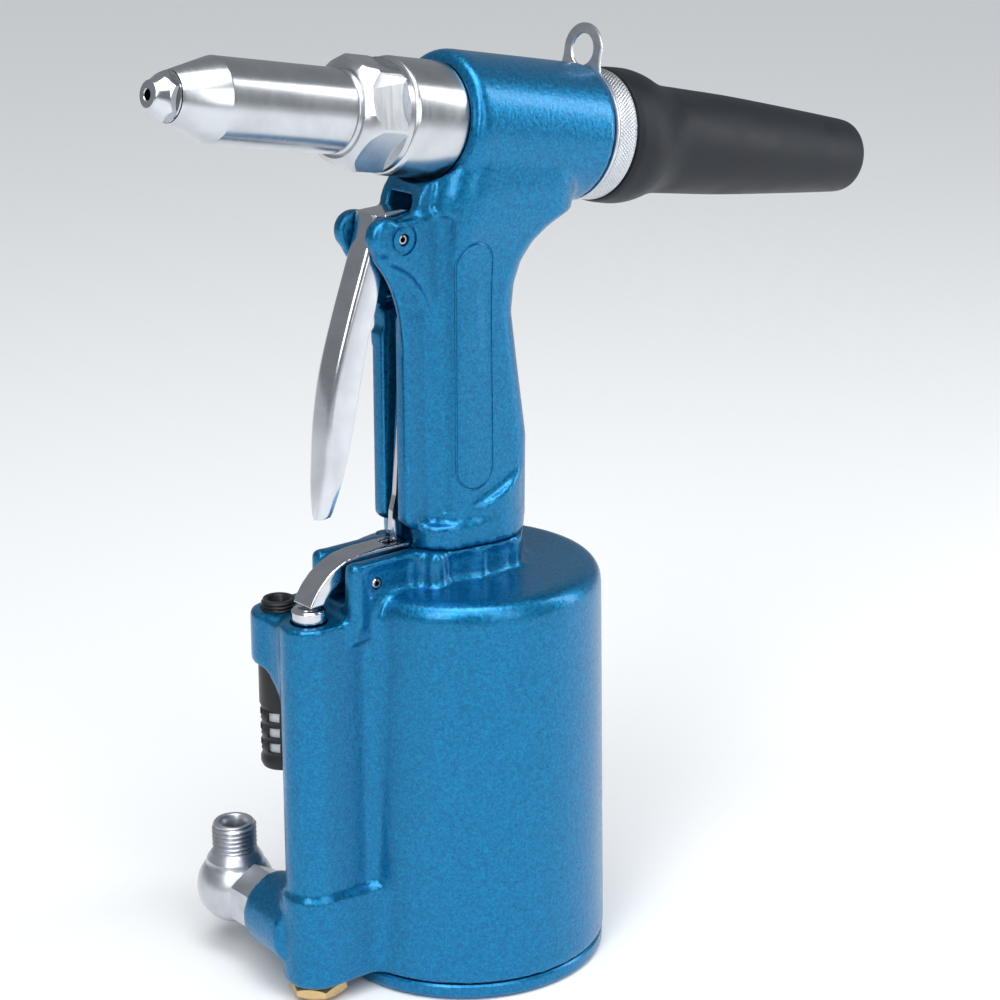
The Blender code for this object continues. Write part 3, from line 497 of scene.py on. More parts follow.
headTurn = (0, math.atan2(noseWay.x, noseWay.z) * -1, 0)
hammerBlue = makeHammerBlue()
turnedSteel = makeMetal("turnedSteel")
turnedHead = makeMetal("turnedSteel", headTurn)
polishedSteel = makeMetal("polishedSteel")
zincPlate = makeMetal("zincPlate")
aluminium = makeMetal("aluminium")
brass = makeMetal("brass")
copper = makeMetal("copper")
blackRubber = makeDull("blackRubber")
sealRubber = makeDull("sealRubber")
blackPlastic = makeDull("blackPlastic")
feltWhite = makeDull("feltWhite")
print("finishes made")


finishOf = {
    "hammered_blue": hammerBlue, "polished_steel": polishedSteel, "turned_steel": turnedSteel,
    "zinc_plate": zincPlate, "cast_aluminium": aluminium, "brass": brass, "copper_washer": copper,
    "black_rubber": blackRubber, "seal_rubber": sealRubber, "black_plastic": blackPlastic,
    "white_felt": feltWhite,
}
slotOf = {part["node"]: part["material_slot"] for part in frame["record"]["subparts"]}
for node, obj in frame["nodes"].items():       # the nodes that stay are sealed inside
    obj.data.materials.clear()
    obj.data.materials.append(finishOf[slotOf[node]])


# the neck's plan, shared by the pedestal under it

neckPlan = {"rear": 17.3, "front": 11.0, "corner": (-11.3, 4.3)}


def neckOutline(inset):
    x, y = neckPlan["corner"]
    rear = neckPlan["rear"] - inset
    front = neckPlan["front"] - inset
    return (bow((0, 0), rear, -100, 100, 48) + bow((x, y), front, 100, 180, 16)
            + bow((x, -y), front, 180, 260, 16))


def notch(low, high):
    return block((-30, -4.7, low), (-20.8, 4.7, high))


cylinderMake = {
    "grain": 0.8,                # size of the skin's facets
    "rounds": 7,
    "bottom": (41.3, 5.3),       # radius and height of the lower rim
    "top": (39.4, 119.3),
    "shoulder": 6.0,
    "pedestalTop": 129.3,
    "panelDepth": 1.5,           # how far the pedestal's panels are let in
    "bossTop": 114.0,
    "silencerBase": 98.0,
    "blockTop": 33.0,
}


def bossPlan(radius, spread):
    # a round nose with straight sides that flare into the cylinder
    nose = bow((valveAt.x, 0), radius, 262, 98, 24)
    flare = [(-42.8, spread), (-41.0, spread + 0.4), (-39.7, spread + 1.5), (-38.6, spread + 3.4),
             (-30, spread + 3.4)]
    return [(x, -y) for x, y in flare[::-1]] + nose + flare


def pinEar(side, low, high):
    # one ear of the lever's bracket, with its face let in between the rim and the front column
    across = 7.4 * side
    top = high + 0.9
    outline = [(-12, low), (-47, low), *bow((-44.5, top - 2.5), 2.5, 180, 90, 6), (-24.5, top - 0.3),
               (-22.9, high), (-12, high)]
    wall = sideSlab(outline, across, 4.8)
    column = spun([(0, top + 0.4), (1.8, top + 0.1), (2.6, top - 0.9), (2.8, low), (0, low)], 32,
                  moved(-44.6, 7.6 * side, 0))
    return [wall, column]


def makeCylinder():
    make = cylinderMake
    bottomR, base = make["bottom"]
    topR, top = make["top"]
    deck = make["pedestalTop"]
    barrel = spun([(0, top), *rounded([(0, top), (topR, top, make["shoulder"]), (bottomR, base)])[1:],
                   (bottomR, base), (0, base)], 160)
    solids = [
        barrel,
        slab(neckOutline(1.0), 112, deck),
        slab(neckOutline(-1.6), 112, 119.8),
        slab(bossPlan(8.3, 7.9), base, make["bossTop"]),
        slab(bossPlan(9.7, 10.4), base + 0.4, make["blockTop"]),
        rod(8.0, make["silencerBase"], 113.5, 64, moved(silencerAt.x, silencerAt.y, 0)),
        slab([(-54, 0), (-54, 22.3), (-44, 23.4), (-28, 26), (-28, 0)],
             make["silencerBase"] + 1, 112.8),
        slab(flowing([(0, 83.5), (4.5, 86), (7, 90.5), (11.5, 95.8), (17, 98.6)])
             + [(17, 112), (0, 112)], -61, -48, alongX),
        spun([(0, 21), (11, 21), (12.3, 3), (0, 3)], 64, moved(valveAt.x, 0, inletAt.z) @ alongY),
        block((-46.5, -9.6, 108), (-12, 9.6, 118.2)),
        *pinEar(1, 112, deck), *pinEar(-1, 112, deck),
    ]
    for turn in (138, 222):       # round ribs at the front corners
        away = Vector((math.cos(math.radians(turn)), math.sin(math.radians(turn))))
        at = Vector((-9.6, -2.6 if away.y < 0 else 2.6)) + away * 13.6
        solids.append(spun([(0, deck), (2.4, deck), (3.0, deck - 2), (3.3, 117), (0, 117)], 24,
                           moved(at.x, at.y, 0)))
    for turn in (64, 118, -64, -118, 20, -20):       # flat ribs between the let-in panels
        rib = block((13.5, -2.5, 117), (neckPlan["rear"] + 0.2, 2.5, deck))
        rib.transform(Matrix.Rotation(math.radians(turn), 4, 'Z'))
        solids.append(rib)
    solids.append(slab(neckOutline(0.1), deck - 1.0, deck))
    obj = skinned(draft(gathered(solids)), make["grain"], 0)
    panels = [sideSlab(rounded([(-41.6, 119.6, 1.6), (-26.6, 119.6, 1.6), (-26.6, 128.3, 1.6),
                                (-41.6, 128.3, 1.6)]), side * 10.2, 2.4) for side in (1, -1)]
    cage = rod(6.9, 60, make["silencerBase"], 48, moved(silencerAt.x, silencerAt.y, 0))
    carveAll(obj, panels + [notch(118.4, 135), cage])
    skinned(obj, make["grain"], make["rounds"])
    carveAll(obj, [
        rod(11.2, 110, deck + 1, 64),
        rod(4.3, 30, 120, 48, moved(valveAt.x, 0, 0)),
        rod(5.3, 111.2, 120, 48, moved(valveAt.x, 0, 0)),
        rod(5.1, 80, 120, 48, moved(silencerAt.x, silencerAt.y, 0)),
        rod(7.4, 0, 14, 48, moved(valveAt.x, 0, 0)),
        rod(6.5, 9, 24, 48, moved(valveAt.x, 0, inletAt.z) @ alongY),
        rod(pinHole, -14, 14, 32, crossing(leverAt)),
        rod(60, -2, base, 64),
    ])
    piece("cylinder_casting", obj, "tool_body", "hammered_blue", ["air_cylinder"], 40)


makeCylinder()
print("cylinder made")


capMake = {"radius": 41.3, "lip": 1.2}


def makeCap():
    r = capMake["radius"]
    lip = capMake["lip"]
    outline = [(0, 5.2), (r - 2.2, 5.2), (r - 2.2, 4.9), (r - 0.9, 4.9, 0.3), (r - 0.3, 4.2, 0.4),
               (r - 0.3, lip + 0.3, 0.6), (r - 1.2, 0.25, 0.6), (r - 3.5, 0.0, 0.5), (0, 0.0)]
    piece("cylinder_cap_fine", spun(rounded(outline, 4), 160), "tool_body", "hammered_blue",
          ["cylinder_cap"])


makeCap()


handleMake = {
    "grain": 0.6,
    "rounds": 5,
    "neck": (129.6, 136.2),
    "sections": [                  # height, front, rear, half width, corner
        (133.0, -17.6, 15.4, 14.6, 9.0), (157.0, -18.4, 15.2, 14.4, 8.0),
        (178.0, -19.2, 11.9, 14.1, 7.4), (193.0, -19.4, 9.8, 13.9, 7.2), (201.0, -19.4, 10.8, 14.0, 7.4),
        (207.0, -19.4, 13.4, 14.3, 8.0), (212.0, -19.4, 17.6, 14.8, 8.6), (216.0, -19.2, 23.6, 15.6, 9.6),
        (219.5, -18.6, 31.0, 16.6, 10.5), (228.0, -17.6, 33.0, 17.6, 12.0),
        (240.0, -14.0, 32.0, 17.6, 12.0)],
    "badge": (-13.7, -1.4, 145.6, 215.1),      # the empty stadium outline on the port side
    "groove": 0.42,
    "pinRing": (3.4, 4.3, 9.35),
}


def earPlate(side):
    # the pin's face stands a step outside the band that sweeps down from the round lug
    lug = bow((-32.1, 218.9), 5.4, 60, 215, 18)
    band = flowing([(-35.4, 212.6), (-30.6, 205.6), (-27.6, 197.0), (-26.4, 186.0)])
    inner = sideSlab([(-14, 228), (-22, 224.6), (-28.2, 223.4), *lug, *band, (-14, 186.0)],
                     6.3 * side, 2.6)
    face = flowing([(-31.4, 211.6), (-26.0, 208.4), (-21.4, 203.2), (-18.4, 196.6), (-17.0, 188.0)])
    outer = sideSlab([(-14, 225), (-22, 223.2), (-28.0, 222.6), (-31.4, 220.4), (-32.6, 216.0), *face,
                      (-14, 188.0)], 8.6 * side, 2.6)
    outward = alongY if side > 0 else alongY @ turnOver
    knuckle = spun([(0, 9.6), (4.0, 9.6), (5.4, 8.2), (5.4, 4.9), (0, 4.9)], 48,
                   moved(-32.5, 0, 218.8) @ outward)
    return [inner, outer, knuckle]


def badgeGroove(obj):
    # a round cutter laid along the stadium outline, on whatever the port side's surface is there
    left, right, low, high = handleMake["badge"]
    radius = (right - left) / 2
    upper = high - radius
    lower = low + radius
    steps = 24
    outline = []
    for start, end, turn, x in ((upper, lower, 0, left), (lower, upper, 180, right)):
        outline += bow(((left + right) / 2, start), radius, turn, turn + 180, steps)
        outline += [Vector((x, start + (end - start) * k / steps)) for k in range(1, steps)]
    curve = bpy.data.curves.new("groove", 'CURVE')
    curve.dimensions = '3D'
    curve.bevel_depth = handleMake["groove"]
    curve.bevel_resolution = 2
    spline = curve.splines.new('POLY')
    spline.points.add(len(outline) - 1)
    for point, (x, z) in zip(spline.points, outline):
        hit = obj.ray_cast(Vector((x, -40, z)), Vector((0, 1, 0)))[1]
        point.co = (x, hit.y, z, 1)
    spline.use_cyclic_u = True
    lane = placed("groove", curve)
    mesh = evaluated(lane)
    bpy.data.objects.remove(lane)
    return placed("groove", mesh)


def makeHandle():
    make = handleMake
    low, high = make["neck"]
    shoulder = rounded([(0, 10), (19.3, 10, 3.4), (19.3, -40, 0.8), (0, -40)])
    foot = draft(rod(17.1, high - 3, 156, 96))       # the neck's round foot, cut to a rising crease
    crease = flowing([(-18, 137.4), (-12.5, 139.0), (-5.3, 141.4), (1, 143.8), (8, 147.5), (18, 155)])
    carve(foot, sideSlab([*crease, (18, 120), (-18, 120)], 0, 40), 'INTERSECT', 'MANIFOLD')
    solids = [
        spun(shoulder, 128, alongHead),
        loft(make["sections"], 96),
        slab(neckOutline(0), low, high),
        shapeOf(foot),
        sideSlab([(-6, 199), (-22.5, 199), (-22.4, 223.5), (-21.4, 228.0), (-18.6, 232.0), (-6, 232.0)],
                 0, 17.2),
    ]
    for side in (1, -1):
        wall = [(-12, high - 0.6), (-24.4, high - 0.6), (-26.4, high + 1.4), (-26.4, 196.0),
                (-12, 198.0)]
        solids.append(sideSlab(wall, 5.2 * side, 5.0))
        fill = [(-14.4, 150), (-13.6, 172), (-13.2, 205), (-14.2, 222), (-6, 232), (-4, 150)]
        solids.append(sideSlab(fill, 11.2 * side, 6.0))
    obj = skinned(draft(gathered(solids)), make["grain"], 0)
    hollow = flowing([(-60, 7.7), (-22.6, 7.8), (-18.4, 8.7), (-15.8, 10.4), (-14.4, 12.6),
                      (-13.6, 15.0)], 4)
    hollow += [Vector((-13.2, 30)), Vector((-60, 30))]
    sides = [slab([(x, y * side) for x, y in hollow], 139.2, 223.0) for side in (1, -1)]
    carveAll(obj, sides)
    obj = skinned(draft(gathered([shapeOf(obj), *earPlate(1), *earPlate(-1)])), make["grain"], 0)
    slot = [(-60, 199.0), (-22.6, 199.0), (-13.0, 207.0), (-13.0, 227.2), (-24.0, 228.6), (-60, 236.0)]
    carveAll(obj, [
        sideSlab(slot, 0, 10.0),
        block((-30.0, -2.7, 130.0), (-16.6, 2.7, 210.0)),
        block((-19.6, 1.0, 185.0), (-15.4, 18.0, 200.0)),
        block((-40.0, 2.7, 190.0), (-25.4, 12.0, 197.5)),
        notch(126, high + 1.2),
        rod(17.0, 10, 40, 128, alongHead),
    ])
    skinned(obj, make["grain"], make["rounds"])
    carveAll(obj, [
        rod(11.2, 120, 141, 64),
        rod(6.5, 140, 238, 48),
        rod(15.6, 2.5, 30, 128, alongHead),
        rod(14.8, -42, 10, 96, alongHead),
        rod(16.4, -42, -36.7, 96, alongHead),
        rod(pinHole, -14, 14, 32, crossing(triggerAt)),
        rod(5.2, 14.4, 24, 48, crossing(screwAt)),
        rod(2.4, 4, 24, 32, crossing(screwAt)),
    ])
    inner, outer, depth = make["pinRing"]       # machined round each end of the trigger's pin
    for place in (crossing(triggerAt), crossing(triggerAt) @ turnOver):
        ring = spun([(outer, depth), (outer, 12), (inner, 12), (inner, depth)], 48, place)
        carveAll(obj, [ring])
    carveAll(obj, [badgeGroove(obj)])
    piece("handle_casting", obj, "tool_body", "hammered_blue", ["handle_frame"], 40)


makeHandle()
print("handle made")


headMake = {
    "collar": 15.8, "collarFront": 28.3,
    "hexFlats": 27.6, "hexFront": 42.8, "hexTurn": 20.0,
    "nose": 11.2, "coneStart": 83.3, "coneEnd": 95.4, "coneR": 6.9,
    "tip": 101.6, "tipR": 3.66, "bore": 1.45,
}


def makeCollar():
    make = headMake
    r = make["collar"]
    front = make["collarFront"]
    outline = [(12.7, front), (r - 0.9, front), (r - 0.3, front - 0.4, 0.4), (r, front - 1.2, 0.4),
               (r, 11.2), (r - 0.6, 10.6), (r - 0.6, 9.0), (14.5, 9.0), (14.5, 3.0), (5.8, 3.0),
               (5.8, 12), (12.7, 12)]
    piece("front_collar_fine", spun(rounded(outline, 3), 160, alongHead), "tool_body", "turned_steel",
          ["front_collar"], 28, turnedHead)


def makeNose():
    make = headMake
    base = make["collarFront"] + 0.3
    outline = bow((0, 0), make["hexFlats"] / math.sqrt(3), make["hexTurn"], make["hexTurn"] + 300, 5)
    nut = draft(slab(outline, base + 1.3, make["hexFront"]))
    cone = spun([(0, make["hexFront"] + 1), (make["nose"] - 0.2, make["hexFront"] + 1),
                 (14.4, 41.0), (15.7, 38.4), (15.7, 31.4), (14.9, base), (0, base)], 160)
    carve(nut, cone, 'INTERSECT')
    carve(nut, rod(15.2, base, base + 1.6, 160), 'UNION')
    r = make["nose"]
    start = make["coneStart"]
    shaft = spun(rounded([(0, make["coneEnd"]), (make["coneR"] - 0.3, make["coneEnd"]),
                          (make["coneR"], make["coneEnd"] - 0.4), (r, start, 1.2), (r, 44.5),
                          (r - 0.5, 43.6, 0.5), (r + 0.6, 42.0), (r + 0.6, 36), (0, 36)], 6), 160)
    carve(nut, shaft, 'UNION')
    inside = spun([(0, 100), (5.0, 100), (5.0, 85), (8.9, 83), (8.9, 27), (0, 27)], 64)
    carve(nut, inside)
    nut.data.transform(alongHead)
    piece("nose_housing_fine", nut, "tool_body", "turned_steel", ["nose_housing"], 24, turnedHead)


def makeNosepiece():
    make = headMake
    bore = make["bore"]
    tip = make["tip"]
    profile = rounded([(bore, tip - 0.2), (bore + 0.15, tip), (make["tipR"] - 0.4, tip, 0.2),
                       (make["tipR"], tip - 0.3, 0.2), (4.1, 100.2), (5.4, 98.4, 0.4), (6.5, 97.2, 0.3),
                       (6.5, 95.7), (4.7, 95.7), (4.7, 86.0), (2.2, 80.5), (bore, 80.5)], 4)
    obj = draft(spun(profile, 96))
    for k in range(6):            # spanner flats cut into the shoulder
        cut = block((-9, 5.55, 96.1), (9, 9, 101.0))
        cut.transform(Matrix.Rotation(math.pi / 3 * k, 4, 'Z'))
        carveAll(obj, [cut])
    obj.data.transform(alongHead)
    piece("nosepiece_fine", obj, "tool_body", "polished_steel", ["nosepiece"], 24)


makeCollar()
makeNose()
makeNosepiece()
print("nose made")


rearMake = {
    "ring": 18.6, "ringFront": -41.8, "ringRear": -49.0,
    "ringBore": 12.7, "knurlRim": 0.7,
    "knurlRound": 116, "knurlAlong": 5.5, "knurlDepth": 0.34,
    "eye": 23.2, "eyeHole": 4.4, "eyeR": 7.4, "plate": (-41.4, -40.4),
}


def knurled(radius, low, high):
    # a diamond knurl: two crossed sets of grooves round the band
    make = rearMake
    rim = make["knurlRim"]
    shape = tubeWall(radius, low + rim, high - rim, 26, make["knurlRound"] * 4)
    for vert in shape.verts:
        turn = math.atan2(vert.co.y, vert.co.x) / (2 * math.pi) * make["knurlRound"]
        run = (vert.co.z - low) / (high - low) * make["knurlAlong"]
        ridge = min(abs((turn + run) % 1 - 0.5), abs((turn - run) % 1 - 0.5)) * 2
        setRadius(vert, radius - make["knurlDepth"] * (1 - ridge) ** 1.4)
    rims = [(end - side * rim, [(radius - 0.10, end - side * rim * 0.65), (radius - 0.75, end),
                                (make["ringBore"], end)]) for end, side in ((high, 1), (low, -1))]
    return closeTube(shape, rims)


def makeRear():
    make = rearMake
    band = knurled(make["ring"], make["ringRear"], make["ringFront"])
    band.transform(alongHead)
    piece("knurled_ring", band, "tool_body", "zinc_plate", ["rear_retainer"], 50)
    sleeve = spun([(15.9, -37), (15.9, -42), (15.1, -42), (15.1, -64), (3.9, -64), (3.9, -60.6),
                   (12.6, -60.6), (12.6, -37)], 96, alongHead)
    piece("retainer_sleeve", sleeve, "tool_body", "zinc_plate")
    low, high = make["plate"]
    eye = make["eye"]
    outline = (bow((0, 0), 19.15, 31, 329, 72)
               + flowing([(17.6, -8.2), (20.3, -7.4), (eye - 0.6, -7.35)])
               + bow((eye, 0), make["eyeR"], -88, 88, 28)
               + flowing([(eye - 0.6, 7.35), (20.3, 7.4), (17.6, 8.2)]))
    hanger = draft(slab(outline, low, high, None, 0.18, 2))
    carveAll(hanger, [rod(16.4, low - 1, high + 1, 96)])
    hole = make["eyeHole"]
    eased = [(0, high + 0.3), (hole + 0.5, high + 0.3), (hole, high - 0.2), (hole, low + 0.2),
             (hole + 0.5, low - 0.3), (0, low - 0.3)]
    carveAll(hanger, [spun(eased, 48, moved(eye, 0, 0))])
    hanger.data.transform(alongHead)
    piece("hanger_plate", hanger, "tool_body", "zinc_plate", ["hanger"], 35)


sleeveCap = {
    "front": -49.3, "lip": 19.0, "rear": -155.0,
    "outside": [(19.15, -52), (19.2, -57.5), (18.4, -62.0), (16.7, -67.0), (15.6, -72.0), (15.3, -79.0),
                (14.6, -100.0), (13.3, -122.0), (12.1, -140.0), (11.3, -151.0)],
}


def makeRubberCap():
    make = sleeveCap
    front = make["front"]
    lip = make["lip"]
    rear = make["rear"]
    wall = flowing(make["outside"], 8)
    end = bow((8.6, rear + 2.5), 2.5, 0, -90, 10)
    outline = [(15.6, front), (lip - 1.2, front), (lip - 0.35, front - 0.35), (lip, front - 1.1),
               *wall, *end,
               (0, rear), (0, rear + 3), (7.4, rear + 6), (9.4, -130), (12.0, -90), (12.6, -73),
               (15.6, -64.5)]
    piece("rubber_cap", spun(outline, 128, alongHead), "mandrel_cap", "black_rubber",
          ["mandrel_cap"], 40)


makeRear()
makeRubberCap()
print("rear end made")


triggerMake = {
    "width": 9.0, "sheet": 1.5, "edge": 0.55,
    "front": [(-33.4, 224.6), (-35.4, 218.0), (-38.9, 208.5), (-43.4, 196.0), (-47.6, 182.5), (-50.0, 169.4),
              (-50.9, 159.0), (-51.8, 149.5), (-52.2, 142.6)],
    "rear": [(-29.6, 224.2), (-30.9, 213.0), (-33.2, 201.0), (-37.4, 187.5), (-40.4, 173.5), (-42.8, 163.5),
             (-45.3, 155.1), (-47.3, 148.6), (-48.7, 143.2)],
}


def channelStation(front, rear, width, corner):
    # the bent sheet's outline across one station: two flanges and a rounded front
    half = width / 2
    back = (rear - front).normalized()
    points = [rear, front + back * corner]
    profile = [(points[0], -half), (points[1], -half)]
    for k in range(1, 9):
        a = math.radians(90 * k / 9)
        profile.append((front + back * corner * (1 - math.sin(a)), -half + corner * (1 - math.cos(a))))
    profile.append((front, -half + corner))
    profile.append((front - back * 0.4, 0))
    mirrored = [(point, -y) for point, y in profile[:-1]][::-1]
    return [Vector((point.x, y, point.y)) for point, y in profile + mirrored]


def bentChannel(fronts, rears, widths, corner, sheet):
    shape = bmesh.new()
    stations = [channelStation(f, r, w, corner) for f, r, w in zip(fronts, rears, widths)]
    chain = [shape.verts.new(point) for point in stations[0]]
    edges = [shape.edges.new(pair) for pair in zip(chain, chain[1:])]
    for station in stations[1:]:
        bmesh.ops.extrude_edge_only(shape, edges=edges)
        links = {}
        for e in shape.edges:
            a, b = e.verts
            if (a in chain) != (b in chain):
                links[a if a in chain else b] = b if a in chain else a
        chain = [links[v] for v in chain]
        for vert, point in zip(chain, station):
            vert.co = point
        edges = [shape.edges.get(pair) for pair in zip(chain, chain[1:])]
    bmesh.ops.recalc_face_normals(shape, faces=shape.faces)
    obj = draft(shape)
    wall = obj.modifiers.new("wall", 'SOLIDIFY')
    wall.thickness = sheet
    wall.offset = -1
    return settle(obj)


def makeTrigger():
    make = triggerMake
    fronts = flowing(make["front"], 5)
    rears = flowing(make["rear"], 5)
    count = len(fronts)
    widths = [make["width"] * (1 - 0.45 * max(0, (i / (count - 1) - 0.74) / 0.26) ** 1.8)
              for i in range(count)]
    blade = bentChannel(fronts, rears, widths, 2.6, make["sheet"])
    arm = [(-33.2, 224.5), (-24, 224.9), (-15.6, 224.3, 0.6), (-14.6, 223.4, 0.6), (-14.6, 219.2, 1.2),
           (-17.2, 217.6, 1.5), (-24.6, 215.4), (-30.4, 212.6), (-33.4, 214.0), (-34.0, 220)]
    cheeks = [sideSlab(rounded(arm), 3.75 * side, 1.5, 0.3) for side in (1, -1)]
    roof = sideSlab([(-33.5, 224.6), (-24, 224.95), (-15.4, 224.3), (-15.6, 222.8), (-24, 223.4),
                     (-33.0, 223.1)], 0, 8.9, 0.3)
    arms = draft(gathered(cheeks + [roof]))
    skinned(arms, 0.3, 3)
    carveAll(arms, [rod(1.7, -8, 8, 32, crossing(triggerAt)), rod(1.3, -8, 8, 32, crossing(rodAt))])
    soften = blade.modifiers.new("soften", 'BEVEL')
    soften.width = 0.35
    soften.segments = 2
    soften.limit_method = 'ANGLE'
    soften.angle_limit = math.radians(50)
    settle(blade)
    piece("trigger_blade", blade, "trigger", "polished_steel", ["trigger"], 40)
    piece("trigger_arms", arms, "trigger", "polished_steel", (), 35)


leverMake = {
    "width": 8.2,
    "top": [(-21.8, 130.7), (-30.0, 131.0), (-38.0, 131.0), (-44.6, 130.2), (-50.2, 127.6), (-54.6, 123.6),
            (-57.6, 118.9)],
    "under": [(-52.4, 118.9), (-50.6, 121.4), (-47.8, 123.2), (-44.0, 124.6), (-38.0, 126.0), (-30.0, 128.6),
              (-21.8, 129.2)],
}


def makeLever():
    make = leverMake
    outline = flowing(make["top"], 5) + flowing(make["under"], 5)
    bar = sideSlab(outline, 0, make["width"])
    hub = [rod(3.0, -4.1, 4.1, 48, crossing(leverAt)),
           sideSlab([(-41.3, 123.6), (-35.3, 123.6), (-33.5, 129), (-43.0, 129)], 0, 8.2)]
    obj = skinned(draft(gathered([bar, *hub])), 0.4, 0)
    hollow = [(-47.4, 116), (-46.8, 125.0), (-43.0, 128.3), (-30.0, 128.9), (-23.8, 129.0), (-23.8, 116)]
    carveAll(obj, [sideSlab(hollow, 0, 5.2), block((-29.2, -1.5, 120), (-21.4, 1.5, 136))])
    skinned(obj, 0.4, 9)
    carveAll(obj, [rod(1.7, -8, 8, 32, crossing(leverAt))])
    piece("lever_fine", obj, "valve_lever", "polished_steel", ["valve_lever"], 40)


rodMake = {"thickness": 1.8, "foot": (-24.6, 130.0), "half": 1.25, "flag": 2.2, "toe": 2.5}


def makeRod():
    # one edge from the foot up, as (distance, offset, corner radius), then round the top and back
    make = rodMake
    top = Vector((rodAt.x, rodAt.z))
    foot = Vector(make["foot"])
    length = (foot - top).length
    along = (foot - top) / length
    side = Vector((-along.y, along.x))
    half = make["half"]
    flag = make["flag"]
    toe = make["toe"]
    edge = [(-3.4, toe, 0.5), (-1.7, toe, 0.4), (-1.6, half, 0.4), (2.6, half, 0.6),
            (3.6, flag, 1.0), (9.5, flag, 4.0), (14.0, half, 6.0), (length - 3.2, half, 1.0)]
    run = []
    for way in (1, -1):
        points = []
        for distance, offset, corner in edge[::way]:
            at = foot - along * distance + side * offset * way
            points.append((at.x, at.y, corner))
        run.append(rounded(points))
    angle = math.degrees(math.atan2(side.y, side.x))
    outline = run[0] + bow(top, 2.2, angle + 20, angle + 160, 20) + run[1]
    obj = draft(sideSlab(outline, 0, make["thickness"], 0.3, 3))
    carveAll(obj, [rod(1.25, -4, 4, 32, crossing(rodAt))])
    piece("pull_rod_fine", obj, "pull_rod", "turned_steel", ["pull_rod"], 40, polishedSteel)


def rolledPin(name, at, radius, half, body, node):
    # a spring pin: a rolled tube with a slit and eased ends
    profile = rounded([(radius * 0.55, half), (radius - 0.25, half), (radius, half - 0.3),
                       (radius, 0.3 - half), (radius - 0.25, -half), (radius * 0.55, -half)])
    obj = draft(spun(profile, 48, crossing(at)))
    slit = block((-0.18, -half - 1, 0), (0.18, half + 1, radius + 1))
    slit.transform(moved(at.x, 0, at.z))
    carveAll(obj, [slit])
    piece(name, obj, body, "turned_steel", [node])


pinMake = {"radius": 1.45, "triggerHalf": 9.3, "leverHalf": 9.1}


def makePins():
    r = pinMake["radius"]
    rolledPin("trigger_pin_rolled", triggerAt, r, pinMake["triggerHalf"], "tool_body", "trigger_pin")
    rolledPin("lever_pin_rolled", leverAt, r, pinMake["leverHalf"], "tool_body", "lever_pin")
    shank = rounded([(0, 4.3), (0.8, 4.3), (1.0, 4.1), (1.0, -4.1), (0.8, -4.3), (0, -4.3)])
    piece("rod_pin_fine", spun(shank, 40, crossing(rodAt)), "trigger", "turned_steel",
          ["rod_pin"])


makeTrigger()
makeLever()
makeRod()
makePins()
print("trigger and lever made")


valveMake = {"button": 4.8, "top": 118.2, "seat": 114.3}


def makeValve():
    make = valveMake
    r = make["button"]
    top = make["top"]
    seat = make["seat"]
    outline = rounded([(0, top), (r - 1.7, top), (r - 1.3, top - 0.25, 0.2), (r - 0.5, top - 0.35, 0.2),
                       (r, top - 0.9, 0.3), (r, seat + 0.2, 0.2), (r - 0.5, seat), (2.2, seat), (2.2, 96.3),
                       (0, 96.3)])
    piece("button_fine", spun(outline, 72, moved(valveAt.x, 0, 0)), "valve", "polished_steel",
          ["valve_button"])


springMake = {
    "return_spring": {"radius": 10.2, "wire": 1.0, "low": -59.2, "high": -21.3, "turns": 6},
    "valve_spring": {"radius": 3.2, "wire": 0.4, "low": 14.1, "high": 33.6, "turns": 6},
}


def coiled(make, place, steps=32, sides=12):
    # a compression spring whose first and last turns lie flat
    wire = make["wire"]
    flat = 2.3 * wire
    length = make["high"] - make["low"]
    closed = 1 / make["turns"]
    count = make["turns"] * steps
    shape = bmesh.new()
    rings = []
    for i in range(count + 1):
        t = i / count
        inside = min(max((t - closed) / (1 - 2 * closed), 0), 1)
        ends = min(t, closed) + max(t - 1 + closed, 0)
        height = make["low"] + flat * ends / closed + (length - 2 * flat) * inside
        turn = Matrix.Rotation(2 * math.pi * make["turns"] * t, 4, 'Z')
        ring = []
        for k in range(sides):
            angle = 2 * math.pi * k / sides
            out = make["radius"] + wire * math.cos(angle)
            ring.append(shape.verts.new(turn @ Vector((out, 0, height + wire * math.sin(angle)))))
        rings.append(ring)
    for ring, after in zip(rings, rings[1:]):
        for k in range(sides):
            n = (k + 1) % sides
            shape.faces.new((ring[k], ring[n], after[n], after[k]))
    shape.faces.new(rings[0])
    shape.faces.new(rings[-1][::-1])
    bmesh.ops.recalc_face_normals(shape, faces=shape.faces)
    shape.transform(place)
    return shape


def makeSpring(name, node, make, place):
    # the whole coil sits on the tool's body in place of the node, with a mesh of its own
    obj = piece(name, coiled(make, place), "tool_body", "turned_steel", [node])
    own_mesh(obj)


plugMake = {"flats": 14.8, "low": 1.7, "high": 4.7, "turn": 10.0, "shank": (6.9, 13.7)}


def makePlug():
    make = plugMake
    radius, top = make["shank"]
    nut = draft(hexagonal(make["flats"], make["low"], make["high"], make["turn"], 0.55))
    carve(nut, spun([(0, 2.3), (3.0, 2.3), (3.6, 1.0), (0, 1.0)], 48))
    carve(nut, rod(radius, make["high"] - 0.2, top, 64), 'UNION')
    nut.data.transform(moved(valveAt.x, 0, 0))
    piece("plug_fine", nut, "tool_body", "brass", ["valve_plug"], 25)


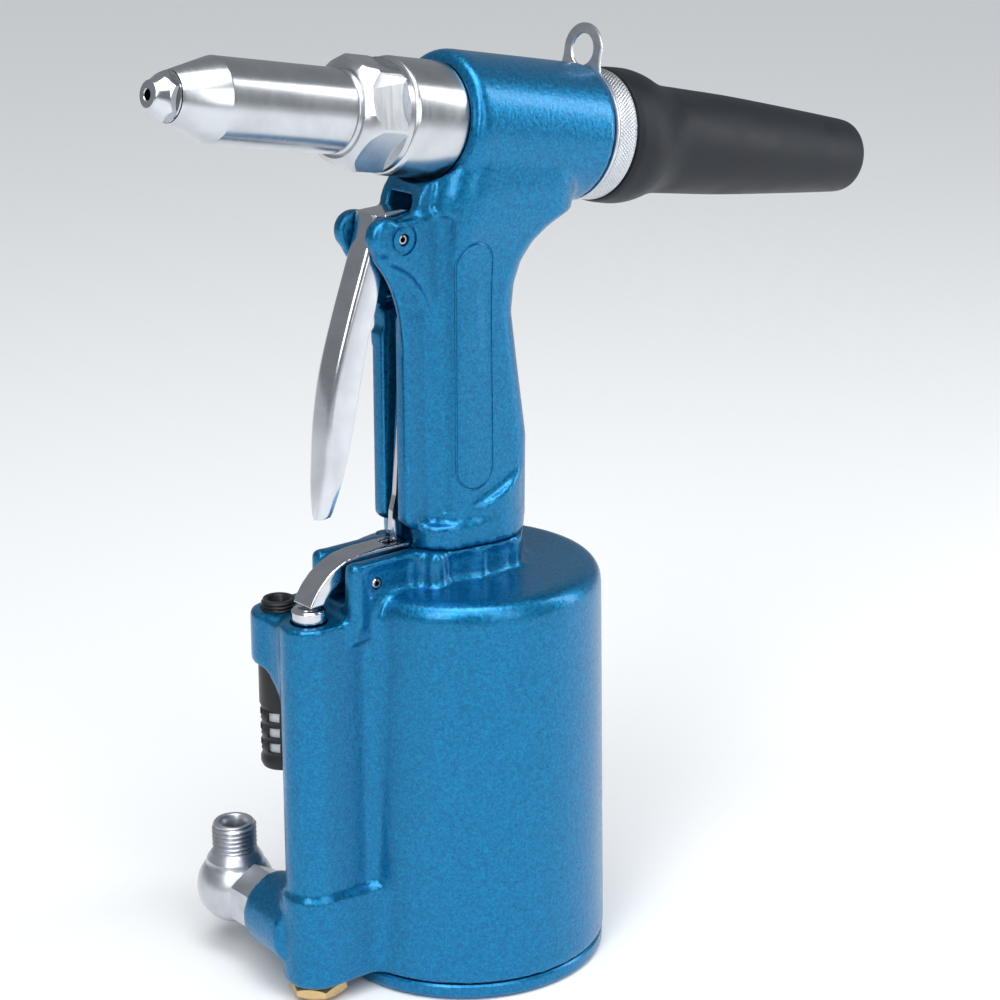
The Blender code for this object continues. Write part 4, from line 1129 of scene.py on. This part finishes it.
def threaded(crest, root, low, high, pitch, bore, steps=64):
    # the wall of a tube pushed in and out along a helix that fades at both ends
    rows = max(4, int((high - low) / pitch * 8))
    shape = tubeWall(crest, low, high, rows, steps)
    for vert in shape.verts:
        turn = math.atan2(vert.co.y, vert.co.x) / (2 * math.pi)
        wave = abs(((vert.co.z - low) / pitch - turn) % 1 - 0.5) * 2
        fade = min(1.0, (high - vert.co.z) / (0.7 * pitch), (vert.co.z - low) / (0.4 * pitch))
        setRadius(vert, crest - (crest - root) * (1 - max(0.0, fade) * wave))
    eased = 0.4               # the bore's lead-in at both ends
    return closeTube(shape, [(end, [(bore + eased, end), (bore, end - side * eased)])
                             for end, side in ((high, 1), (low, -1))])


silencerMake = {"cage": 6.2, "rows": (71.6, 76.2, 80.8), "slotHeight": 2.9, "slots": 6, "top": 116.3}


def makeSilencer():
    make = silencerMake
    cage = make["cage"]
    bulge = []
    for height in (67.4, 71.9, 76.5, 81.1):       # scalloped bands between the rows of slots
        bulge += [(cage - 0.55, height - 0.9), (cage, height + 0.3), (cage, height + 1.9),
                  (cage - 0.55, height + 3.0)]
    outline = ([(3.0, 66.5), (cage - 1.4, 66.5), *bulge, (cage, 85.6), (cage, 97.8), (3.0, 97.8), (3.0, 87),
                (5.0, 85.5), (5.0, 68.0), (3.0, 68.0)])
    obj = draft(spun(outline, 72))
    for row in make["rows"]:
        for k in range(make["slots"]):
            slot = block((3.5, -1.9, row), (9, 1.9, row + make["slotHeight"]))
            slot.transform(Matrix.Rotation(2 * math.pi * (k + 0.5) / make["slots"], 4, 'Z'))
            carveAll(obj, [slot])
    obj.data.transform(moved(silencerAt.x, silencerAt.y, 0))
    piece("silencer_cage", obj, "tool_body", "black_plastic", ["silencer_body"], 35)
    neck = threaded(4.9, 4.35, 97.0, make["top"], 1.0, 3.0)
    neck.transform(moved(silencerAt.x, silencerAt.y, 0))
    piece("silencer_thread", neck, "tool_body", "black_plastic", (), 50)
    core = spun(rounded([(2.0, 68.3), (4.2, 68.3, 0.4), (4.6, 70, 0.3), (4.6, 85, 0.3), (4.2, 86.7, 0.4),
                         (2.0, 86.7)]), 64, moved(silencerAt.x, silencerAt.y, 0))
    piece("silencer_felt", core, "tool_body", "white_felt", ["silencer_core"])


inletMake = {
    "nutFlats": 17.0, "nut": (21.3, 30.3),
    "ball": 11.4, "top": 40.0, "thread": (6.58, 5.65), "pitch": 1.337, "bore": 4.2,
}


def makeInlet():
    make = inletMake
    low, high = make["nut"]
    at = moved(inletAt.x, 0, inletAt.z) @ alongY
    nut = draft(hexagonal(make["nutFlats"], low, high, 30, 0.3))
    carve(nut, rod(5.4, high - 1, 41.0, 64), 'UNION')
    carve(nut, rod(6.2, 9.6, low + 1, 64), 'UNION')
    carve(nut, rod(3.0, 5, 45, 48))
    nut.data.transform(at)
    piece("union_nut", nut, "tool_body", "zinc_plate", ["inlet_union"], 25)
    ballR = make["ball"]
    y = inletAt.y
    ball = ([Vector((0, y + ballR))] + bow((0, y), ballR, 89, -50, 40)
            + [Vector((6.9, 31.0)), Vector((6.9, 30.6)), Vector((5.7, 30.6)), Vector((5.7, 43.0)),
               Vector((0, 43.0))])
    elbow = draft(spun(ball, 96, at))
    stem = make["thread"][0] + 0.1
    low = inletAt.z + 6.3
    collar = spun(rounded([(0, 31.4), (stem - 0.6, 31.4), (stem + 0.3, 30.6, 0.4), (stem + 1.6, 28.6, 1.2),
                           (stem + 2.2, low), (0, low)]), 96, moved(inletAt.x, y, 0))
    carve(elbow, collar, 'UNION')
    carve(elbow, rod(make["bore"], inletAt.z, 50, 64, moved(inletAt.x, y, 0)))
    piece("swivel_ball", elbow, "inlet_elbow", "zinc_plate", ["inlet_elbow"], 30)
    crest, root = make["thread"]
    thread = threaded(crest, root, 30.9, make["top"], make["pitch"], make["bore"], 96)
    thread.transform(moved(inletAt.x, y, 0))
    piece("inlet_thread", thread, "inlet_elbow", "zinc_plate", (), 60)


screwMake = {"face": 14.6, "flats": 7.0, "head": (15.9, 18.9), "washer": (2.4, 4.6, 14.9, 15.6)}


def makeScrew():
    make = screwMake
    low, high = make["head"]
    head = draft(hexagonal(make["flats"], low, high, 30, 0.6))
    carve(head, rod(2.1, 9, make["face"] + 2, 40), 'UNION')
    head.data.transform(crossing(screwAt))
    piece("oil_screw_fine", head, "tool_body", "zinc_plate", ["oil_screw"], 25)
    inner, outer, bottom, top = make["washer"]
    ring = spun(rounded([(inner, top), (outer, top, 0.2), (outer, bottom, 0.2), (inner, bottom)]), 64,
                crossing(screwAt))
    piece("oil_screw_seal", ring, "tool_body", "copper_washer", ["oil_screw_washer"])


makeValve()
for name, place, joint in (("valve_spring", moved(valveAt.x, 0, 0), "valve_press"),
                           ("return_spring", alongHead, "draw_stroke")):
    makeSpring(name + "_fine", name, springMake[name], place)
makePlug()
makeSilencer()
makeInlet()
makeScrew()
print("valve, silencer and inlet made")


stageLook = {"floor": (0.88, 0.89, 0.90), "sky": 0.30, "backdrop": 0.95}


def makeStage():
    shape = bmesh.new()
    bmesh.ops.create_grid(shape, x_segments=1, y_segments=1, size=4)
    floor = draft(shape, "floor")
    material = bpy.data.materials.new("floor")
    material.use_nodes = True
    shader = material.node_tree.nodes["Principled BSDF"]
    shader.inputs["Base Color"].default_value = (*stageLook["floor"], 1)
    shader.inputs["Roughness"].default_value = 0.7
    floor.data.materials.append(material)
    world = bpy.data.worlds.new("studio")
    bpy.context.scene.world = world
    world.use_nodes = True
    tree = world.node_tree
    sky = tree.nodes["Background"]
    sky.inputs["Color"].default_value = (0.90, 0.95, 1.0, 1)
    sky.inputs["Strength"].default_value = stageLook["sky"]
    backdrop = tree.nodes.new('ShaderNodeBackground')      # the camera sees the pale backdrop instead
    backdrop.inputs["Color"].default_value = (1, 1, 1, 1)
    backdrop.inputs["Strength"].default_value = stageLook["backdrop"]
    path = tree.nodes.new('ShaderNodeLightPath')
    mix = tree.nodes.new('ShaderNodeMixShader')
    tree.links.new(path.outputs["Is Camera Ray"], mix.inputs["Fac"])
    tree.links.new(sky.outputs["Background"], mix.inputs[1])
    tree.links.new(backdrop.outputs["Background"], mix.inputs[2])
    tree.links.new(mix.outputs["Shader"], tree.nodes["World Output"].inputs["Surface"])
    bpy.context.scene.view_settings.view_transform = 'Standard'


lamps = {
    "keyLeft": {"at": (-0.9, -0.5, 0.8), "size": (0.35, 0.9), "watts": 5.5},
    "portSoft": {"at": (-0.1, -1.1, 0.6), "size": (0.5, 0.8), "watts": 3.0},
    "topSoft": {"at": (-0.15, -0.1, 1.1), "size": (0.7, 0.5), "watts": 4.5},
    "rimRight": {"at": (0.8, -0.5, 0.5), "size": (0.2, 0.9), "watts": 3.5},
}
daylight = {"strength": 1.25, "softness": 50.0, "tilt": (24.0, -14.0, 0.0)}


def makeLamps():
    for name, lamp in lamps.items():
        light = bpy.data.lights.new(name, 'AREA')
        light.shape = 'RECTANGLE'
        light.size, light.size_y = lamp["size"]
        light.energy = lamp["watts"]
        obj = placed(name, light)
        obj.location = lamp["at"]
        aim = Vector((0, 0, 0.13)) - obj.location
        obj.rotation_euler = aim.to_track_quat('-Z', 'Y').to_euler()
    sun = bpy.data.lights.new("daylight", 'SUN')
    sun.energy = daylight["strength"]
    sun.angle = math.radians(daylight["softness"])
    obj = placed("daylight", sun)
    obj.rotation_euler = [math.radians(angle) for angle in daylight["tilt"]]


cameraMake = {"at": (-0.4471, -0.5394, 0.3685), "tilt": 71.721, "turn": -40.511, "lens": 93.6}


def makeCamera():
    make = cameraMake
    camera = bpy.data.cameras.new("camera")
    camera.lens = make["lens"]
    camera.sensor_width = 36.0
    camera.clip_start = 0.01
    obj = placed("camera", camera)
    obj.location = make["at"]
    obj.rotation_euler = (math.radians(make["tilt"]), 0, math.radians(make["turn"]))
    bpy.context.scene.camera = obj


makeStage()
makeLamps()
makeCamera()
print("stage, lamps and camera made")
